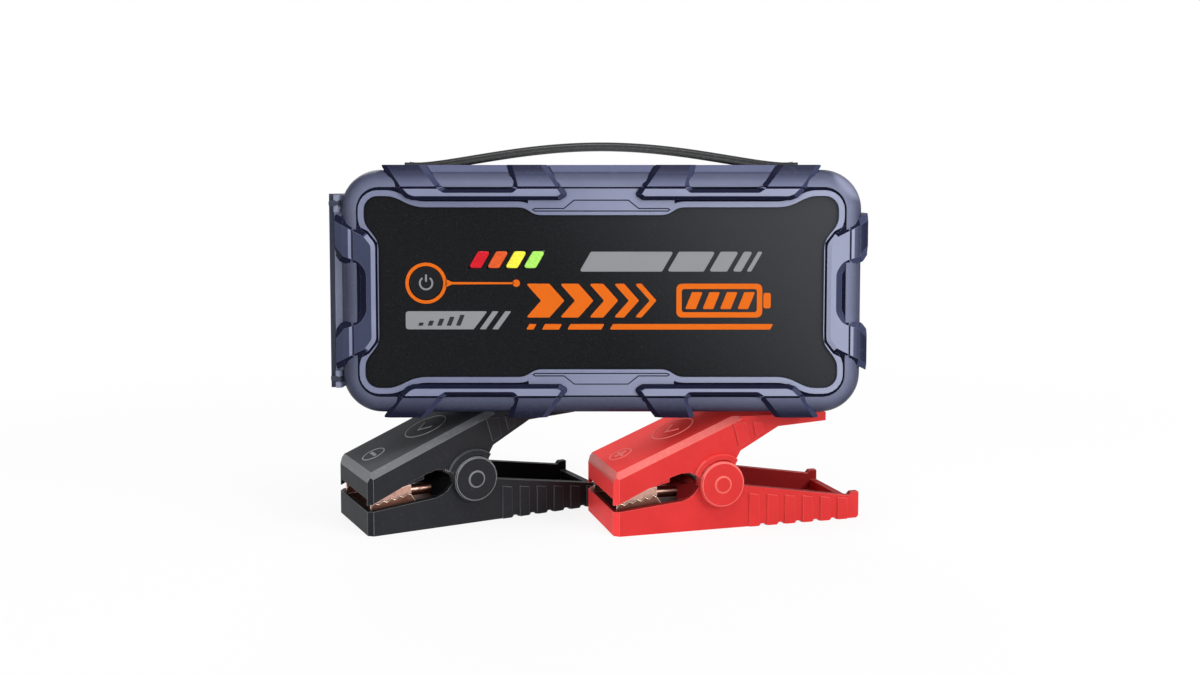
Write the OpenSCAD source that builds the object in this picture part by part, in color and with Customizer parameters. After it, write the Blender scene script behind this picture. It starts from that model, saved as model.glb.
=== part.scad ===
// Jump starter pack: a guarded power pack with a carry strap, a port door and a power button,
// standing on the handles of its two sprung battery clamps.
// Millimetres. +X right, +Y away from the front panel, +Z up, floor at z = 0.

/* [Case] */
// Outside width of the frame
frame_w = 215.4; // [205:0.2:260]
// Outside height of the frame
frame_h = 101; // [98:0.2:122]
// Depth of the two closed case halves
frame_d = 42; // [41:0.5:52]
// Radius of the case corners, seen from the front
corner_r = 16.5; // [14:0.5:20]
// Radius of the rounded edge round each half
nose_r = 6.4; // [5.6:0.1:6.8]
// Thickness of the case walls
wall = 3; // [2.5:0.1:3.4]
// Thickness of the front and rear panels
panel_t = 2; // [1.6:0.1:2.4]

/* [Guards] */
// How far the guards on top and bottom stand out from the frame
guard_out = 2; // [1.6:0.1:3]
// How far the guards on the two sides stand out from the frame
side_out = 2.4; // [2:0.1:3]
// How far the guards stand out over the front and the rear
guard_proud = 1.5; // [1.2:0.1:1.8]

/* [Strap] */
// Width of the carry strap
strap_w = 22; // [18:1:24]
// Thickness of the carry strap
strap_t = 3; // [2:0.1:3.2]
// Height of the strap's crown over its ends
strap_rise = 8.3; // [8:0.1:14]
// Half length of the strap from its middle to each end
strap_half = 82; // [80:1:84]

/* [Port side] */
// Depth of the port bezel and its door, front to rear
port_d = 26; // [25:0.5:27]
// Height of the port bezel and its door
port_h = 80.4; // [78:0.2:82]
// How far the bezel plate stands out from the frame
bezel_out = 3.5; // [3.2:0.1:3.8]
// Thickness of the port door
door_t = 1.9; // [1.6:0.1:2.2]
// Radius of the door hinge pins
hinge_pin_r = 0.7; // [0.6:0.05:0.8]

/* [Controls] */
// Radius of the power button cap
button_r = 6.8; // [6:0.1:7.4]
// Travel of the power button
button_travel = 0.8; // [0.5:0.1:1]

/* [Clamps] */
// Length of a clamp from its nose to the end of its lower handle
clamp_l = 110; // [104:1:112]
// Width of a clamp over its side walls
clamp_w = 44; // [36:1:45]
// Height of the clamps where the pack rests on their upper handles
clamp_h = 47; // [46:0.5:52]
// Height of the clamp's pivot over the floor
pivot_h = 19.5; // [19:0.1:20.5]
// Radius of the pivot discs
disc_r = 9.6; // [8.6:0.1:9.8]
// Radius of the pivot pin
pin_r = 2.5; // [2:0.1:2.8]
// Thickness of the clamp's walls
lever_t = 3; // [2.6:0.1:3.2]
// Turn of the black clamp about the upright, nose towards the front
black_yaw = 28; // [27:0.5:30]
// Turn of the red clamp about the upright, nose towards the front
red_yaw = 15.5; // [14:0.5:16]
// How far the clamps' noses stand in front of the guards
nose_out = 7.5; // [5:0.5:9]

/* [Fits] */
// Gap round parts that are pushed into their pockets by hand
seat_gap = 0.15; // [0.1:0.05:0.2]
// Gap round the parts that slide or turn
slide_gap = 0.25; // [0.2:0.05:0.3]
// Radial clearance of a pin in its bore
pin_gap = 0.05; // [0.03:0.01:0.08]
// Gap between two parts that rest on each other
rest_gap = 0.1; // [0.05:0.05:0.2]

/* [Hidden] */
$fn = 48;
over = 1;

// Case: half sizes, and heights t over the plane where the halves meet
half_w = frame_w / 2;
half_h = frame_h / 2;
front_t = frame_d / 2;
groove_t = front_t - 1;
lip_t = front_t - 0.3;
panel_front_t = front_t - 1.2;
panel_back_t = panel_front_t - panel_t;
ledge_t = panel_back_t - 2;
rim_in = 7.1;
lip_w = 2.3;
ledge_w = 3;
guard_t = front_t + guard_proud;
rail_out = guard_out - 0.05;

// Panel cutouts and controls, in face coordinates
button_x = -72.2;
button_y = 3.8;
bar_w = 5.3;
bar_h = 7;
bar_slant = 4.1;
bar_y = 10;
bar_pitch = 7.5;
bar_x = -54.8;

// Screws of the case
boss_x = half_w - 9.2;
boss_y = half_h - 9;
boss_r = 4;
screw_r = 1.5;
screw_head_r = 2.8;
screw_head_h = 1.8;

// Port side
port_hole_d = 21.8;
port_hole_h = 73.6;
tub_in = 12;
bezel_x = -half_w - bezel_out;
hinge_x = bezel_x + 1.8;
hinge_t = port_d / 2 + 2.3;
hinge_r = 1.5;
knuckle_top = port_h / 2;
knuckle_h = 2.4;

// Clamp: heights and lengths in its own side view
pivot_u = 46;
jaw_nose_h = 10;
jaw_gap = 2.5;
upper_nose_top = 25.4;
nose_face = 3.4;
nose_corner = 2;
crest_u = 52;
paddle_end_u = 94;
paddle_t = 3.6;
cap_t = 3.2;
rib_t = 0.7;
rib_pitch = 8.2;
rib_w = 4.4;
inner_ear_t = 3;
ear_v = clamp_w / 2 - lever_t - slide_gap;
clear_r = disc_r + 0.5;
teeth_u = 21;
tooth_pitch = 3.5;
tooth_h = 1.2;
tooth_slope = 0.18;
tooth_line_h = 11.1;
seat_h = tooth_line_h + 4;
seat_slope = 0.2;
scallop = 0.8;
boss_w = 2;
boss_rise = 1.8;
flare_r = 4;
ferrule_v = -4;
copper_t = 1.2;
wire_r = 1;
coil_r = 4.7;
coil_pitch = 2.6;
coil_turns = floor((2 * (ear_v - inner_ear_t) - 2 * wire_r - 3.2) / coil_pitch - 0.5);

// Where the pack stands: over the clamps, with the whole object centred on the origin
pack_z = clamp_h + rest_gap + half_h + guard_out;
door_x = half_w + bezel_out + 0.2 + door_t;
red_nose_x = 5.5;
black_nose_x = -94.8;
red_end_x = red_nose_x + clamp_l * cos(red_yaw);
black_far_x = (clamp_w - nose_corner) * sin(black_yaw) - black_nose_x;
shift_x = (max(door_x, black_far_x) - max(red_end_x, half_w + side_out)) / 2;
nose_y = -guard_t - nose_out;
far_y = nose_y + clamp_l * sin(black_yaw) + clamp_w * cos(black_yaw);
shift_y = -(far_y + nose_y + nose_corner * sin(min(red_yaw, black_yaw))) / 2;

case_blue = [0.39, 0.41, 0.55];
guard_blue = [0.43, 0.45, 0.60];
black = [0.13, 0.14, 0.15];
dark_grey = [0.24, 0.25, 0.27];
clamp_red = [0.86, 0.18, 0.2];
copper = [0.78, 0.53, 0.40];
steel = [0.72, 0.73, 0.75];
board_green = [0.10, 0.34, 0.20];

// ---------- shared shapes ----------

// Carries the pack's face coordinates (x right, y up, z towards the viewer) to its place
module in_pack() {
    translate([shift_x, shift_y, pack_z])
        rotate([90, 0, 0])
            children();
}

// Carries a clamp's side view (u along, v across, w up) to its place
module in_clamp(nose_x, yaw) {
    translate([shift_x + nose_x, shift_y + nose_y, 0])
        rotate([0, 0, yaw])
            translate([0, clamp_w / 2, 0])
                children();
}

module in_black() {
    in_clamp(black_nose_x, black_yaw) children();
}

module in_red() {
    in_clamp(red_nose_x, red_yaw) children();
}

// A side-view outline, given thickness from v0 to v1
module across(v0, v1) {
    translate([0, v1, 0])
        rotate([90, 0, 0])
            linear_extrude(v1 - v0)
                children();
}

module both_sides(v0, v1) {
    across(v0, v1) children();
    across(-v1, -v0) children();
}

module round_rect(w, h, r) {
    square([w - 2 * r, h], center = true);
    square([w, h - 2 * r], center = true);
    for (x = [-1, 1], y = [-1, 1])
        translate([x * (w / 2 - r), y * (h / 2 - r)])
            circle(r);
}

// A square-cornered block from its low corner to its high corner
module block(low, high) {
    translate(low)
        cube(high - low);
}

function unit(v) = v / norm(v);

// A corner b between a and c, bent over a reach on both of its sides
function bend(a, b, c, reach) =
    let (
        p = b + min(reach, 0.48 * norm(a - b)) * unit(a - b),
        q = b + min(reach, 0.48 * norm(c - b)) * unit(c - b)
    )
    [for (s = [0 : 0.25 : 1]) p * (1 - s) * (1 - s) + b * 2 * s * (1 - s) + q * s * s];

// A closed outline with each corner bent over its own reach
function bent(points, reaches) =
    let (n = len(points))
    [
        for (i = [0 : n - 1])
            each reaches[i] == 0
                ? [points[i]]
                : bend(points[(i + n - 1) % n], points[i], points[(i + 1) % n], reaches[i])
    ];

function flip_x(points) = [for (i = [len(points) - 1 : -1 : 0]) [-points[i][0], points[i][1]]];
function flip_y(points) = [for (i = [len(points) - 1 : -1 : 0]) [points[i][0], -points[i][1]]];
function four_way(q) = concat(q, flip_x(q), [for (p = q) [-p[0], -p[1]]], flip_y(q));

// The black panel's outline: one quarter, mirrored
panel_quarter = concat(
    [
        [half_w - 16.1, 20],
        [half_w - 14.6, 23],
        [half_w - 10.2, 28.4],
        [half_w - 10.2, half_h - 16.5]
    ],
    [for (a = [15 : 15 : 90]) [half_w - 16 + 5.8 * cos(a), half_h - 16.6 + 5.8 * sin(a)]],
    [
        [half_w - 22.5, half_h - 10.8],
        [half_w - 30.9, half_h - 15.4],
        [31.8, half_h - 15.4],
        [27, half_h - 18.6]
    ]
);

quarter_reach = [3, 3, 4, 0, 0, 0, 0, 0, 0, 0, 4.6, 4.6, 2.4, 2.4];
quarter_reach_back = [for (i = [len(quarter_reach) - 1 : -1 : 0]) quarter_reach[i]];
panel_points = bent(
    four_way(panel_quarter),
    concat(quarter_reach, quarter_reach_back, quarter_reach, quarter_reach_back)
);

module panel_outline(grow = 0) {
    if (grow == 0)
        polygon(panel_points);
    else
        offset(delta = grow)
            polygon(panel_points);
}

// Outlines of the guards, seen from the front: the right one of each pair
side_guard_half = [
    [half_w + side_out + over, 33.2],
    [half_w - 6.9, 27.9],
    [half_w - 12, 25.3],
    [half_w - 15.8, 20.4]
];
side_notch_half = [
    [half_w + side_out + over, 16.4],
    [half_w - 0.2, 12.5],
    [half_w - 6.7, 10.5],
    [half_w - 8.6, 7.5]
];

module side_guard_outline() {
    difference() {
        polygon(concat(side_guard_half, flip_y(side_guard_half)));
        polygon(concat(side_notch_half, flip_y(side_notch_half)));
    }
}

guard_top = half_h + guard_out + over;

module top_guard_outline() {
    difference() {
        polygon([
            [half_w - 17.3, guard_top],
            [22.9, guard_top],
            [14.3, half_h - 9.6],
            [14.4, half_h - 10.8],
            [16.9, half_h - 12.4],
            [half_w - 30.1, half_h - 12.4],
            [half_w - 27.4, half_h - 11.4],
            [half_w - 24.1, half_h - 8.2],
            [half_w - 17.3, half_h + 1.2]
        ]);
        guard_recess(0);
    }
}

// The slanted recess in a guard's outer edge, or the pad of the rail that fills it
module guard_recess(inset) {
    polygon([
        [half_w - 34.6 - inset, guard_top],
        [39.2 + inset, guard_top],
        [36.2 + inset, half_h - 6.8],
        [37.4 + inset, half_h - 8 + inset],
        [half_w - 44.2 - inset, half_h - 8 + inset],
        [half_w - 42.4 - inset, half_h - 6.8]
    ]);
}

// Half section of the rim in [inset from the outside, height t]
function nose_arc(r, t) = [for (a = [0 : 15 : 90]) [r - r * cos(a), t - r + r * sin(a)]];
rim_section = concat(
    [[wall, 0], [0, 0]],
    nose_arc(nose_r, front_t),
    [
        [rim_in, front_t],
        [rim_in, ledge_t],
        [wall + 1.6, ledge_t],
        [wall, front_t - nose_r - 1]
    ]
);
solid_section = concat([[rim_in, 0], [0, 0]], nose_arc(nose_r, front_t), [[rim_in, front_t]]);

// Runs a rim section all the way round the case
module rim_ring(section) {
    for (side = [0, 1])
        mirror([side, 0, 0]) {
            rotate([90, 0, 0])
                linear_extrude(2 * (half_h - corner_r), center = true)
                    polygon([for (p = section) [half_w - p[0], p[1]]]);
            for (end = [0, 1])
                mirror([0, end, 0])
                    translate([half_w - corner_r, half_h - corner_r, 0])
                        rotate_extrude(angle = 90)
                            polygon([for (p = section) [corner_r - p[0], p[1]]]);
        }
    for (end = [0, 1])
        mirror([0, end, 0])
            rotate([90, 0, 90])
                linear_extrude(2 * (half_w - corner_r), center = true)
                    polygon([for (p = section) [half_h - p[0], p[1]]]);
}

// The raised rail on top, between the guards and in their recesses: front half
module top_rail() {
    intersection() {
        rotate([90, 0, 90])
            linear_extrude(2 * half_w - 2 * corner_r, center = true)
                polygon([
                    [half_h - 1.5, 0],
                    [half_h + rail_out, 0],
                    [half_h + rail_out, front_t - 4.6],
                    [half_h - 0.9, front_t - 2],
                    [half_h - 6, front_t],
                    [half_h - 6, front_t - 1.5],
                    [half_h - 1.5, front_t - 5]
                ]);
        linear_extrude(front_t + over) {
            polygon([
                [-22.6, guard_top],
                [22.6, guard_top],
                [13.6, half_h - 10.4],
                [-13.6, half_h - 10.4]
            ]);
            guard_recess(seat_gap);
            mirror([1, 0])
                guard_recess(seat_gap);
        }
    }
}

// The same channels in the case, down to its own top
module rail_channels() {
    translate([0, 0.2, 0])
        strap_channels();
}

// Channels in the guards and the rail that the ends of the strap lie in
module strap_channels() {
    for (side = [0, 1])
        mirror([side, 0, 0])
            block(
                [30, half_h - 0.2, -strap_w / 2 - slide_gap],
                [strap_half + 0.4, half_h + guard_out + over, strap_w / 2 + slide_gap]
            );
}

// Everything solid of the case that a guard has to clear: both halves
module case_envelope() {
    for (side = [0, 1])
        mirror([0, 0, side]) {
            rim_ring(solid_section);
            linear_extrude(groove_t)
                square([2 * (half_w - rim_in + 1), 2 * (half_h - rim_in + 1)], center = true);
            linear_extrude(lip_t)
                panel_outline(lip_w + 0.15);
            top_rail();
        }
}

module boss_places() {
    for (x = [-1, 1], y = [-1, 1])
        translate([x * boss_x, y * boss_y, 0])
            children();
}

// One case half, with its bezel, lip, ledge and four screw bosses
module half_shell() {
    rim_ring(rim_section);
    top_rail();
    translate([0, 0, ledge_t])
        linear_extrude(groove_t - ledge_t)
            difference() {
                round_rect(2 * (half_w - 5), 2 * (half_h - 5), corner_r - 5);
                panel_outline();
            }
    translate([0, 0, ledge_t])
        linear_extrude(panel_back_t - ledge_t)
            difference() {
                panel_outline(over);
                panel_outline(-ledge_w);
            }
    translate([0, 0, groove_t - 0.5])
        linear_extrude(lip_t - groove_t + 0.5)
            difference() {
                union() {
                    panel_outline(lip_w);
                    square([2 * centre_half, 2 * (half_h - rim_in - 0.7)], center = true);
                }
                panel_outline();
                for (x = [0, 1], y = [0, 1])
                    mirror([x, 0])
                        mirror([0, y]) {
                            side_guard_outline();
                            offset(delta = seat_gap)
                                top_guard_outline();
                            centre_line();
                        }
            }
    boss_places()
        cylinder(r = boss_r, h = ledge_t + 0.5);
    // Posts that carry the strap screws
    for (x = [-1, 1])
        translate([x * strap_screw_x, half_h - wall - 6, 0])
            block([-4, 0, 0], [4, 6.5, 4.5]);
}

strap_screw_x = strap_half - 7;

// The plates at the middle of the top and bottom edges, and the fine line cut in them
centre_half = 30;
line_w = 0.45;

// The fine line in the top lip: a closed loop round the inner part of the centre plate
module centre_line() {
    loop = [
        [-11.2, half_h - 12.3],
        [-15.4, half_h - 15.7],
        [-27.4, half_h - 15.7],
        [-28.5, half_h - 16.4],
        [-27.4, half_h - 17.2],
        [27.4, half_h - 17.2],
        [28.5, half_h - 16.4],
        [27.4, half_h - 15.7],
        [15.4, half_h - 15.7],
        [11.2, half_h - 12.3]
    ];
    difference() {
        polygon(loop);
        offset(delta = -line_w)
            polygon(loop);
    }
}

module port_hole() {
    block(
        [-half_w - over, -port_hole_h / 2, -port_hole_d / 2],
        [-half_w + wall + 4, port_hole_h / 2, port_hole_d / 2]
    );
}

module strap_screw_holes() {
    for (x = [-1, 1])
        translate([x * strap_screw_x, half_h - 8, 0])
            rotate([-90, 0, 0])
                cylinder(r = screw_r + pin_gap, h = 12);
}

// ---------- case ----------

module front_frame() {
    color(case_blue)
        in_pack()
            difference() {
                half_shell();
                port_hole();
                strap_screw_holes();
                rail_channels();
                boss_places()
                    translate([0, 0, -over])
                        cylinder(r = screw_r + pin_gap, h = 13);
            }
}

module rear_frame() {
    color(case_blue)
        in_pack()
            difference() {
                mirror([0, 0, 1])
                    half_shell();
                port_hole();
                strap_screw_holes();
                rail_channels();
                boss_places() {
                    translate([0, 0, -front_t - over])
                        cylinder(r = screw_r + pin_gap, h = front_t + 2 * over);
                    translate([0, 0, -front_t - over])
                        cylinder(r = screw_head_r + slide_gap, h = 2 * over + screw_head_h);
                }
                translate([0, 0, -gasket_d - seat_gap])
                    linear_extrude(gasket_d + seat_gap + over)
                        gasket_outline(seat_gap);
            }
}

gasket_in = 0.9;
gasket_w = 1.1;
gasket_d = 1;

module gasket_outline(grow) {
    near = gasket_in - grow;
    far = gasket_in + gasket_w + grow;
    difference() {
        round_rect(2 * (half_w - near), 2 * (half_h - near), corner_r - near);
        round_rect(2 * (half_w - far), 2 * (half_h - far), corner_r - far);
    }
}

module case_gasket() {
    color(dark_grey)
        in_pack()
            difference() {
                translate([0, 0, -gasket_d])
                    linear_extrude(gasket_d)
                        gasket_outline(0);
                port_hole();
                strap_screw_holes();
            }
}

module case_screws() {
    color(steel)
        in_pack()
            boss_places()
                difference() {
                    union() {
                        translate([0, 0, -front_t + over])
                            cylinder(r = screw_r, h = front_t + 8);
                        translate([0, 0, -front_t + over])
                            cylinder(r = screw_head_r, h = screw_head_h);
                    }
                    translate([0, 0, -front_t + over - 0.1])
                        cylinder(r = 1.2, h = 1.2, $fn = 6);
                }
}

function bar_points(i, gap) = [
    [bar_x + i * bar_pitch - gap, bar_y - gap],
    [bar_x + i * bar_pitch + bar_w + gap, bar_y - gap],
    [bar_x + i * bar_pitch + bar_w + bar_slant + gap, bar_y + bar_h + gap],
    [bar_x + i * bar_pitch + bar_slant - gap, bar_y + bar_h + gap]
];

board_post_x = [-86, -24];
board_post_y = [17.5, -9.5];

module board_post_places() {
    for (x = board_post_x, y = board_post_y)
        translate([x, y, 0])
            children();
}

module front_panel() {
    color(black)
        in_pack()
            difference() {
                union() {
                    translate([0, 0, panel_back_t])
                        linear_extrude(panel_t)
                            panel_outline(-seat_gap);
                    board_post_places()
                        translate([0, 0, led_board_t + led_board_h])
                            cylinder(r = 2.4, h = panel_back_t - led_board_t - led_board_h + 0.5);
                }
                translate([button_x, button_y, panel_back_t - over])
                    cylinder(r = button_r + slide_gap, h = panel_t + 2 * over);
                for (i = [0 : 3])
                    translate([0, 0, panel_back_t - over])
                        linear_extrude(panel_t + 2 * over)
                            polygon(bar_points(i, seat_gap));
                board_post_places()
                    translate([0, 0, led_board_t])
                        cylinder(r = 0.9 + pin_gap, h = 5.4);
            }
}

module rear_panel() {
    color(black)
        in_pack()
            mirror([0, 0, 1])
                difference() {
                    union() {
                        translate([0, 0, panel_back_t])
                            linear_extrude(panel_t)
                                panel_outline(-seat_gap);
                        main_post_places()
                            translate([0, 0, -main_board_t])
                                cylinder(r = 2.6, h = panel_back_t + main_board_t + 0.5);
                    }
                    for (i = [-3 : 3])
                        translate([0, i * 6, panel_front_t - 0.6])
                            linear_extrude(over)
                                round_rect(130, 2.4, 1.19);
                    main_post_places()
                        translate([0, 0, -main_board_t - over])
                            cylinder(r = 1.1 + pin_gap, h = 6.4);
                }
}

// ---------- guards ----------

// Cross section of a guard over an edge at the given half size, front and rear together
module guard_section(half, out) {
    upper = [
        [half + out, guard_t - 4.4],
        [half + out - 3.6, guard_t - 2],
        [half - 6, guard_t - 0.6],
        [half - 6.9, guard_t - 0.4],
        [half - 7.3, guard_t - 0.9],
        [half - 7.9, guard_t],
        [half - 18, guard_t]
    ];
    polygon(concat(upper, flip_y(upper)));
}

module flat_guard() {
    difference() {
        intersection() {
            linear_extrude(2 * guard_t + 2, center = true)
                top_guard_outline();
            rotate([90, 0, 90])
                linear_extrude(half_w)
                    guard_section(half_h, guard_out);
        }
        case_envelope();
        strap_channels();
    }
}

module side_guard() {
    difference() {
        intersection() {
            linear_extrude(2 * guard_t + 2, center = true)
                side_guard_outline();
            rotate([90, 0, 0])
                linear_extrude(half_h * 2, center = true)
                    guard_section(half_w, side_out);
        }
        case_envelope();
    }
}

module guard_top_left() {
    color(guard_blue) in_pack() mirror([1, 0, 0]) flat_guard();
}

module guard_top_right() {
    color(guard_blue) in_pack() flat_guard();
}

module guard_bottom_left() {
    color(guard_blue) in_pack() rotate([0, 0, 180]) flat_guard();
}

module guard_bottom_right() {
    color(guard_blue) in_pack() mirror([0, 1, 0]) flat_guard();
}

module guard_left() {
    color(guard_blue)
        in_pack()
            difference() {
                mirror([1, 0, 0])
                    side_guard();
                block(
                    [-half_w - 2 * side_out, -half_h, -port_d / 2 - 1],
                    [-half_w + 0.1, half_h, hinge_t + hinge_r + 0.3]
                );
            }
}

module guard_right() {
    color(guard_blue) in_pack() side_guard();
}

// ---------- strap ----------

strap_z = half_h + rest_gap;
strap_bow = strap_half - 6;
strap_steps = 19;

// How far the strap bows up from the case at x
function strap_lift(x) = strap_rise * pow(max(0, 1 - pow(x / strap_bow, 2)), 1.5);

module carry_strap() {
    places = [for (i = [-strap_steps : strap_steps]) i * strap_bow / strap_steps];
    top = [for (x = places) [x, strap_z + strap_t + strap_lift(x)]];
    under = [for (x = places) [-x, strap_z + strap_lift(x)]];
    color(dark_grey)
        in_pack()
            difference() {
                linear_extrude(strap_w, center = true)
                    polygon(concat(
                        [[-strap_half, strap_z], [-strap_half, strap_z + strap_t - 0.8]],
                        [[-strap_half + 0.8, strap_z + strap_t]],
                        top,
                        [[strap_half - 0.8, strap_z + strap_t]],
                        [[strap_half, strap_z + strap_t - 0.8], [strap_half, strap_z]],
                        under
                    ));
                strap_screw_holes();
                for (x = [-1, 1])
                    translate([x * strap_screw_x, strap_z + strap_t - 1.2, 0])
                        rotate([-90, 0, 0])
                            cylinder(r = 3.4, h = 3);
            }
}

module strap_screws() {
    color(steel)
        in_pack()
            for (x = [-1, 1])
                translate([x * strap_screw_x, strap_z + strap_t - 1.2, 0])
                    difference() {
                        union() {
                            rotate([90, 0, 0])
                                cylinder(r = screw_r, h = 8);
                            rotate([-90, 0, 0])
                                cylinder(r = 3.1, h = 1.1);
                        }
                        translate([0, 0.4, 0])
                            rotate([-90, 0, 0])
                                cylinder(r = 1.2, h = 2, $fn = 6);
                    }
}

// ---------- port side ----------

socket_y = 24;
socket_h = 20;
socket_d = 15;
socket_bore_r = 3.4;
socket_pitch = 9.6;
usb_y = [5, -6];
usb_w = 12.8;
usb_h = 5.4;
usb_c_y = -16;
usb_c_w = 9;
usb_c_h = 3.4;
dc_y = -27.5;
dc_r = 5.2;

module bezel_knuckle_outline() {
    circle(hinge_r);
    polygon([
        [-hinge_r, 0],
        [hinge_r, 0],
        [hinge_r, -hinge_t + port_d / 2 - 0.6],
        [-hinge_r, -hinge_t + port_d / 2 - 0.6]
    ]);
}

// Carries an outline in (x, t) at the hinge to a slice from y0 to y1
module hinge_slice(y0, y1) {
    translate([hinge_x, y1, hinge_t])
        rotate([90, 0, 0])
            linear_extrude(y1 - y0)
                children();
}

module port_bezel() {
    color(case_blue)
        in_pack()
            difference() {
                union() {
                    block(
                        [bezel_x, -port_h / 2, -port_d / 2],
                        [-half_w, port_h / 2, port_d / 2]
                    );
                    block(
                        [-half_w - over, -port_hole_h / 2 + seat_gap, -port_hole_d / 2 + seat_gap],
                        [-half_w + tub_in, port_hole_h / 2 - seat_gap, port_hole_d / 2 - seat_gap]
                    );
                    for (end = [0, 1])
                        mirror([0, end, 0]) {
                            hinge_slice(knuckle_top - knuckle_h, knuckle_top)
                                bezel_knuckle_outline();
                            hinge_slice(knuckle_top - 3 * knuckle_h, knuckle_top - 2 * knuckle_h)
                                bezel_knuckle_outline();
                        }
                }
                for (end = [0, 1])
                    mirror([0, end, 0])
                        hinge_slice(knuckle_top - 3 * knuckle_h - 1, knuckle_top + 1)
                            circle(hinge_pin_r + pin_gap);
                port_pocket(socket_y, socket_h, socket_d);
                for (y = usb_y)
                    port_pocket(y, usb_h, usb_w);
                port_pocket(usb_c_y, usb_c_h, usb_c_w);
                translate([bezel_x - over, dc_y, 0])
                    rotate([0, 90, 0])
                        cylinder(r = dc_r + seat_gap, h = tub_in + bezel_out + 2 * over);
            }
}

// A pocket right through the bezel, centred at height y
module port_pocket(y, h, d) {
    block(
        [bezel_x - over, y - h / 2 - seat_gap, -d / 2 - seat_gap],
        [-half_w + tub_in + over, y + h / 2 + seat_gap, d / 2 + seat_gap]
    );
}

module output_socket() {
    color([0.16, 0.33, 0.72])
        in_pack()
            difference() {
                block(
                    [bezel_x + 0.4, socket_y - socket_h / 2, -socket_d / 2],
                    [-half_w + tub_in + 2, socket_y + socket_h / 2, socket_d / 2]
                );
                for (side = [-1, 1])
                    translate([bezel_x - over, socket_y + side * socket_pitch / 2, 0])
                        rotate([0, 90, 0])
                            cylinder(r = socket_bore_r, h = 13);
            }
}

module usb_a_ports() {
    color(steel)
        in_pack()
            for (y = usb_y)
                difference() {
                    block(
                        [bezel_x + 0.6, y - usb_h / 2, -usb_w / 2],
                        [-half_w + tub_in + 2, y + usb_h / 2, usb_w / 2]
                    );
                    block(
                        [bezel_x - over, y - usb_h / 2 + 0.5, -usb_w / 2 + 0.5],
                        [bezel_x + 11, y - usb_h / 2 + 1.6, usb_w / 2 - 0.5]
                    );
                    block(
                        [bezel_x - over, y - usb_h / 2 + 0.5, -usb_w / 2 + 0.5],
                        [bezel_x + 1.6, y + usb_h / 2 - 0.5, usb_w / 2 - 0.5]
                    );
                }
}

module usb_c_port() {
    color(steel)
        in_pack()
            difference() {
                translate([bezel_x + 0.6, usb_c_y, 0])
                    rotate([0, 90, 0])
                        linear_extrude(tub_in + bezel_out)
                            round_rect(usb_c_w, usb_c_h, usb_c_h / 2 - 0.01);
                translate([bezel_x - over, usb_c_y, 0])
                    rotate([0, 90, 0])
                        linear_extrude(9)
                            difference() {
                                round_rect(usb_c_w - 0.8, usb_c_h - 0.8, usb_c_h / 2 - 0.41);
                                square([usb_c_w - 2.6, 0.8], center = true);
                            }
            }
}

module dc_jack() {
    color(dark_grey)
        in_pack()
            translate([bezel_x + 0.4, dc_y, 0])
                rotate([0, 90, 0])
                    difference() {
                        cylinder(r = dc_r, h = tub_in + bezel_out);
                        translate([0, 0, -over])
                            difference() {
                                cylinder(r = 3.1, h = 11);
                                cylinder(r = 1, h = 11);
                            }
                    }
}

module door_hinge_pins() {
    color(steel)
        in_pack()
            for (end = [0, 1])
                mirror([0, end, 0])
                    hinge_slice(knuckle_top - 3 * knuckle_h, knuckle_top - 0.2)
                        circle(hinge_pin_r);
}

module port_door() {
    color(dark_grey)
        in_pack()
            difference() {
                union() {
                    block(
                        [-door_x, -port_h / 2 - 0.4, -port_d / 2 - 0.4],
                        [-door_x + door_t, port_h / 2 + 0.4, port_d / 2]
                    );
                    for (end = [0, 1])
                        mirror([0, end, 0])
                            hinge_slice(
                                knuckle_top - 2 * knuckle_h + slide_gap,
                                knuckle_top - knuckle_h - slide_gap
                            ) {
                                circle(hinge_r);
                                polygon([
                                    [-door_x - hinge_x, -hinge_t + port_d / 2 - 0.5],
                                    [-door_x - hinge_x + door_t, -hinge_t + port_d / 2 - 0.5],
                                    [-door_x - hinge_x + door_t, -hinge_r - 0.5],
                                    [-hinge_r * 0.6, -hinge_r * 0.8],
                                    [hinge_r * 0.3, 0],
                                    [-hinge_r * 0.7, hinge_r * 0.7],
                                    [-door_x - hinge_x, -hinge_r]
                                ]);
                            }
                    // Finger lip along the free edge
                    block(
                        [-door_x, -8, -port_d / 2 - 2],
                        [-door_x + door_t, 8, -port_d / 2]
                    );
                }
                for (end = [0, 1])
                    mirror([0, end, 0])
                        hinge_slice(knuckle_top - 3 * knuckle_h - 1, knuckle_top + 1)
                            circle(hinge_pin_r + pin_gap);
            }
}

// ---------- controls ----------

module power_button() {
    color(black)
        in_pack()
            translate([button_x, button_y, 0]) {
                translate([0, 0, panel_back_t - 0.5])
                    cylinder(r = button_r, h = panel_t + 0.7);
                translate([0, 0, panel_back_t - rest_gap - 0.9])
                    cylinder(r = button_r + 1.2, h = 0.9);
                translate([0, 0, panel_back_t - rest_gap - 1.8])
                    cylinder(r = 2, h = 1.4);
            }
}

switch_top_t = panel_back_t - rest_gap - 1.8 - button_travel - 0.1;
led_board_t = switch_top_t - 2.6;
led_board_h = 1.2;

module button_switch() {
    color(steel)
        in_pack()
            translate([button_x, button_y, led_board_t + led_board_h]) {
                block([-3, -3, 0], [3, 3, 0.9]);
                cylinder(r = 1.6, h = switch_top_t - led_board_t - led_board_h);
            }
}

module led_window(i) {
    in_pack()
        translate([0, 0, panel_back_t])
            linear_extrude(panel_t - 0.1)
                polygon(bar_points(i, 0));
}

module led_window_red() {
    color([0.92, 0.08, 0.16]) led_window(0);
}

module led_window_orange() {
    color([0.98, 0.4, 0.16]) led_window(1);
}

module led_window_yellow() {
    color([1, 0.95, 0.25]) led_window(2);
}

module led_window_green() {
    color([0.55, 0.95, 0.35]) led_window(3);
}

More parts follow.
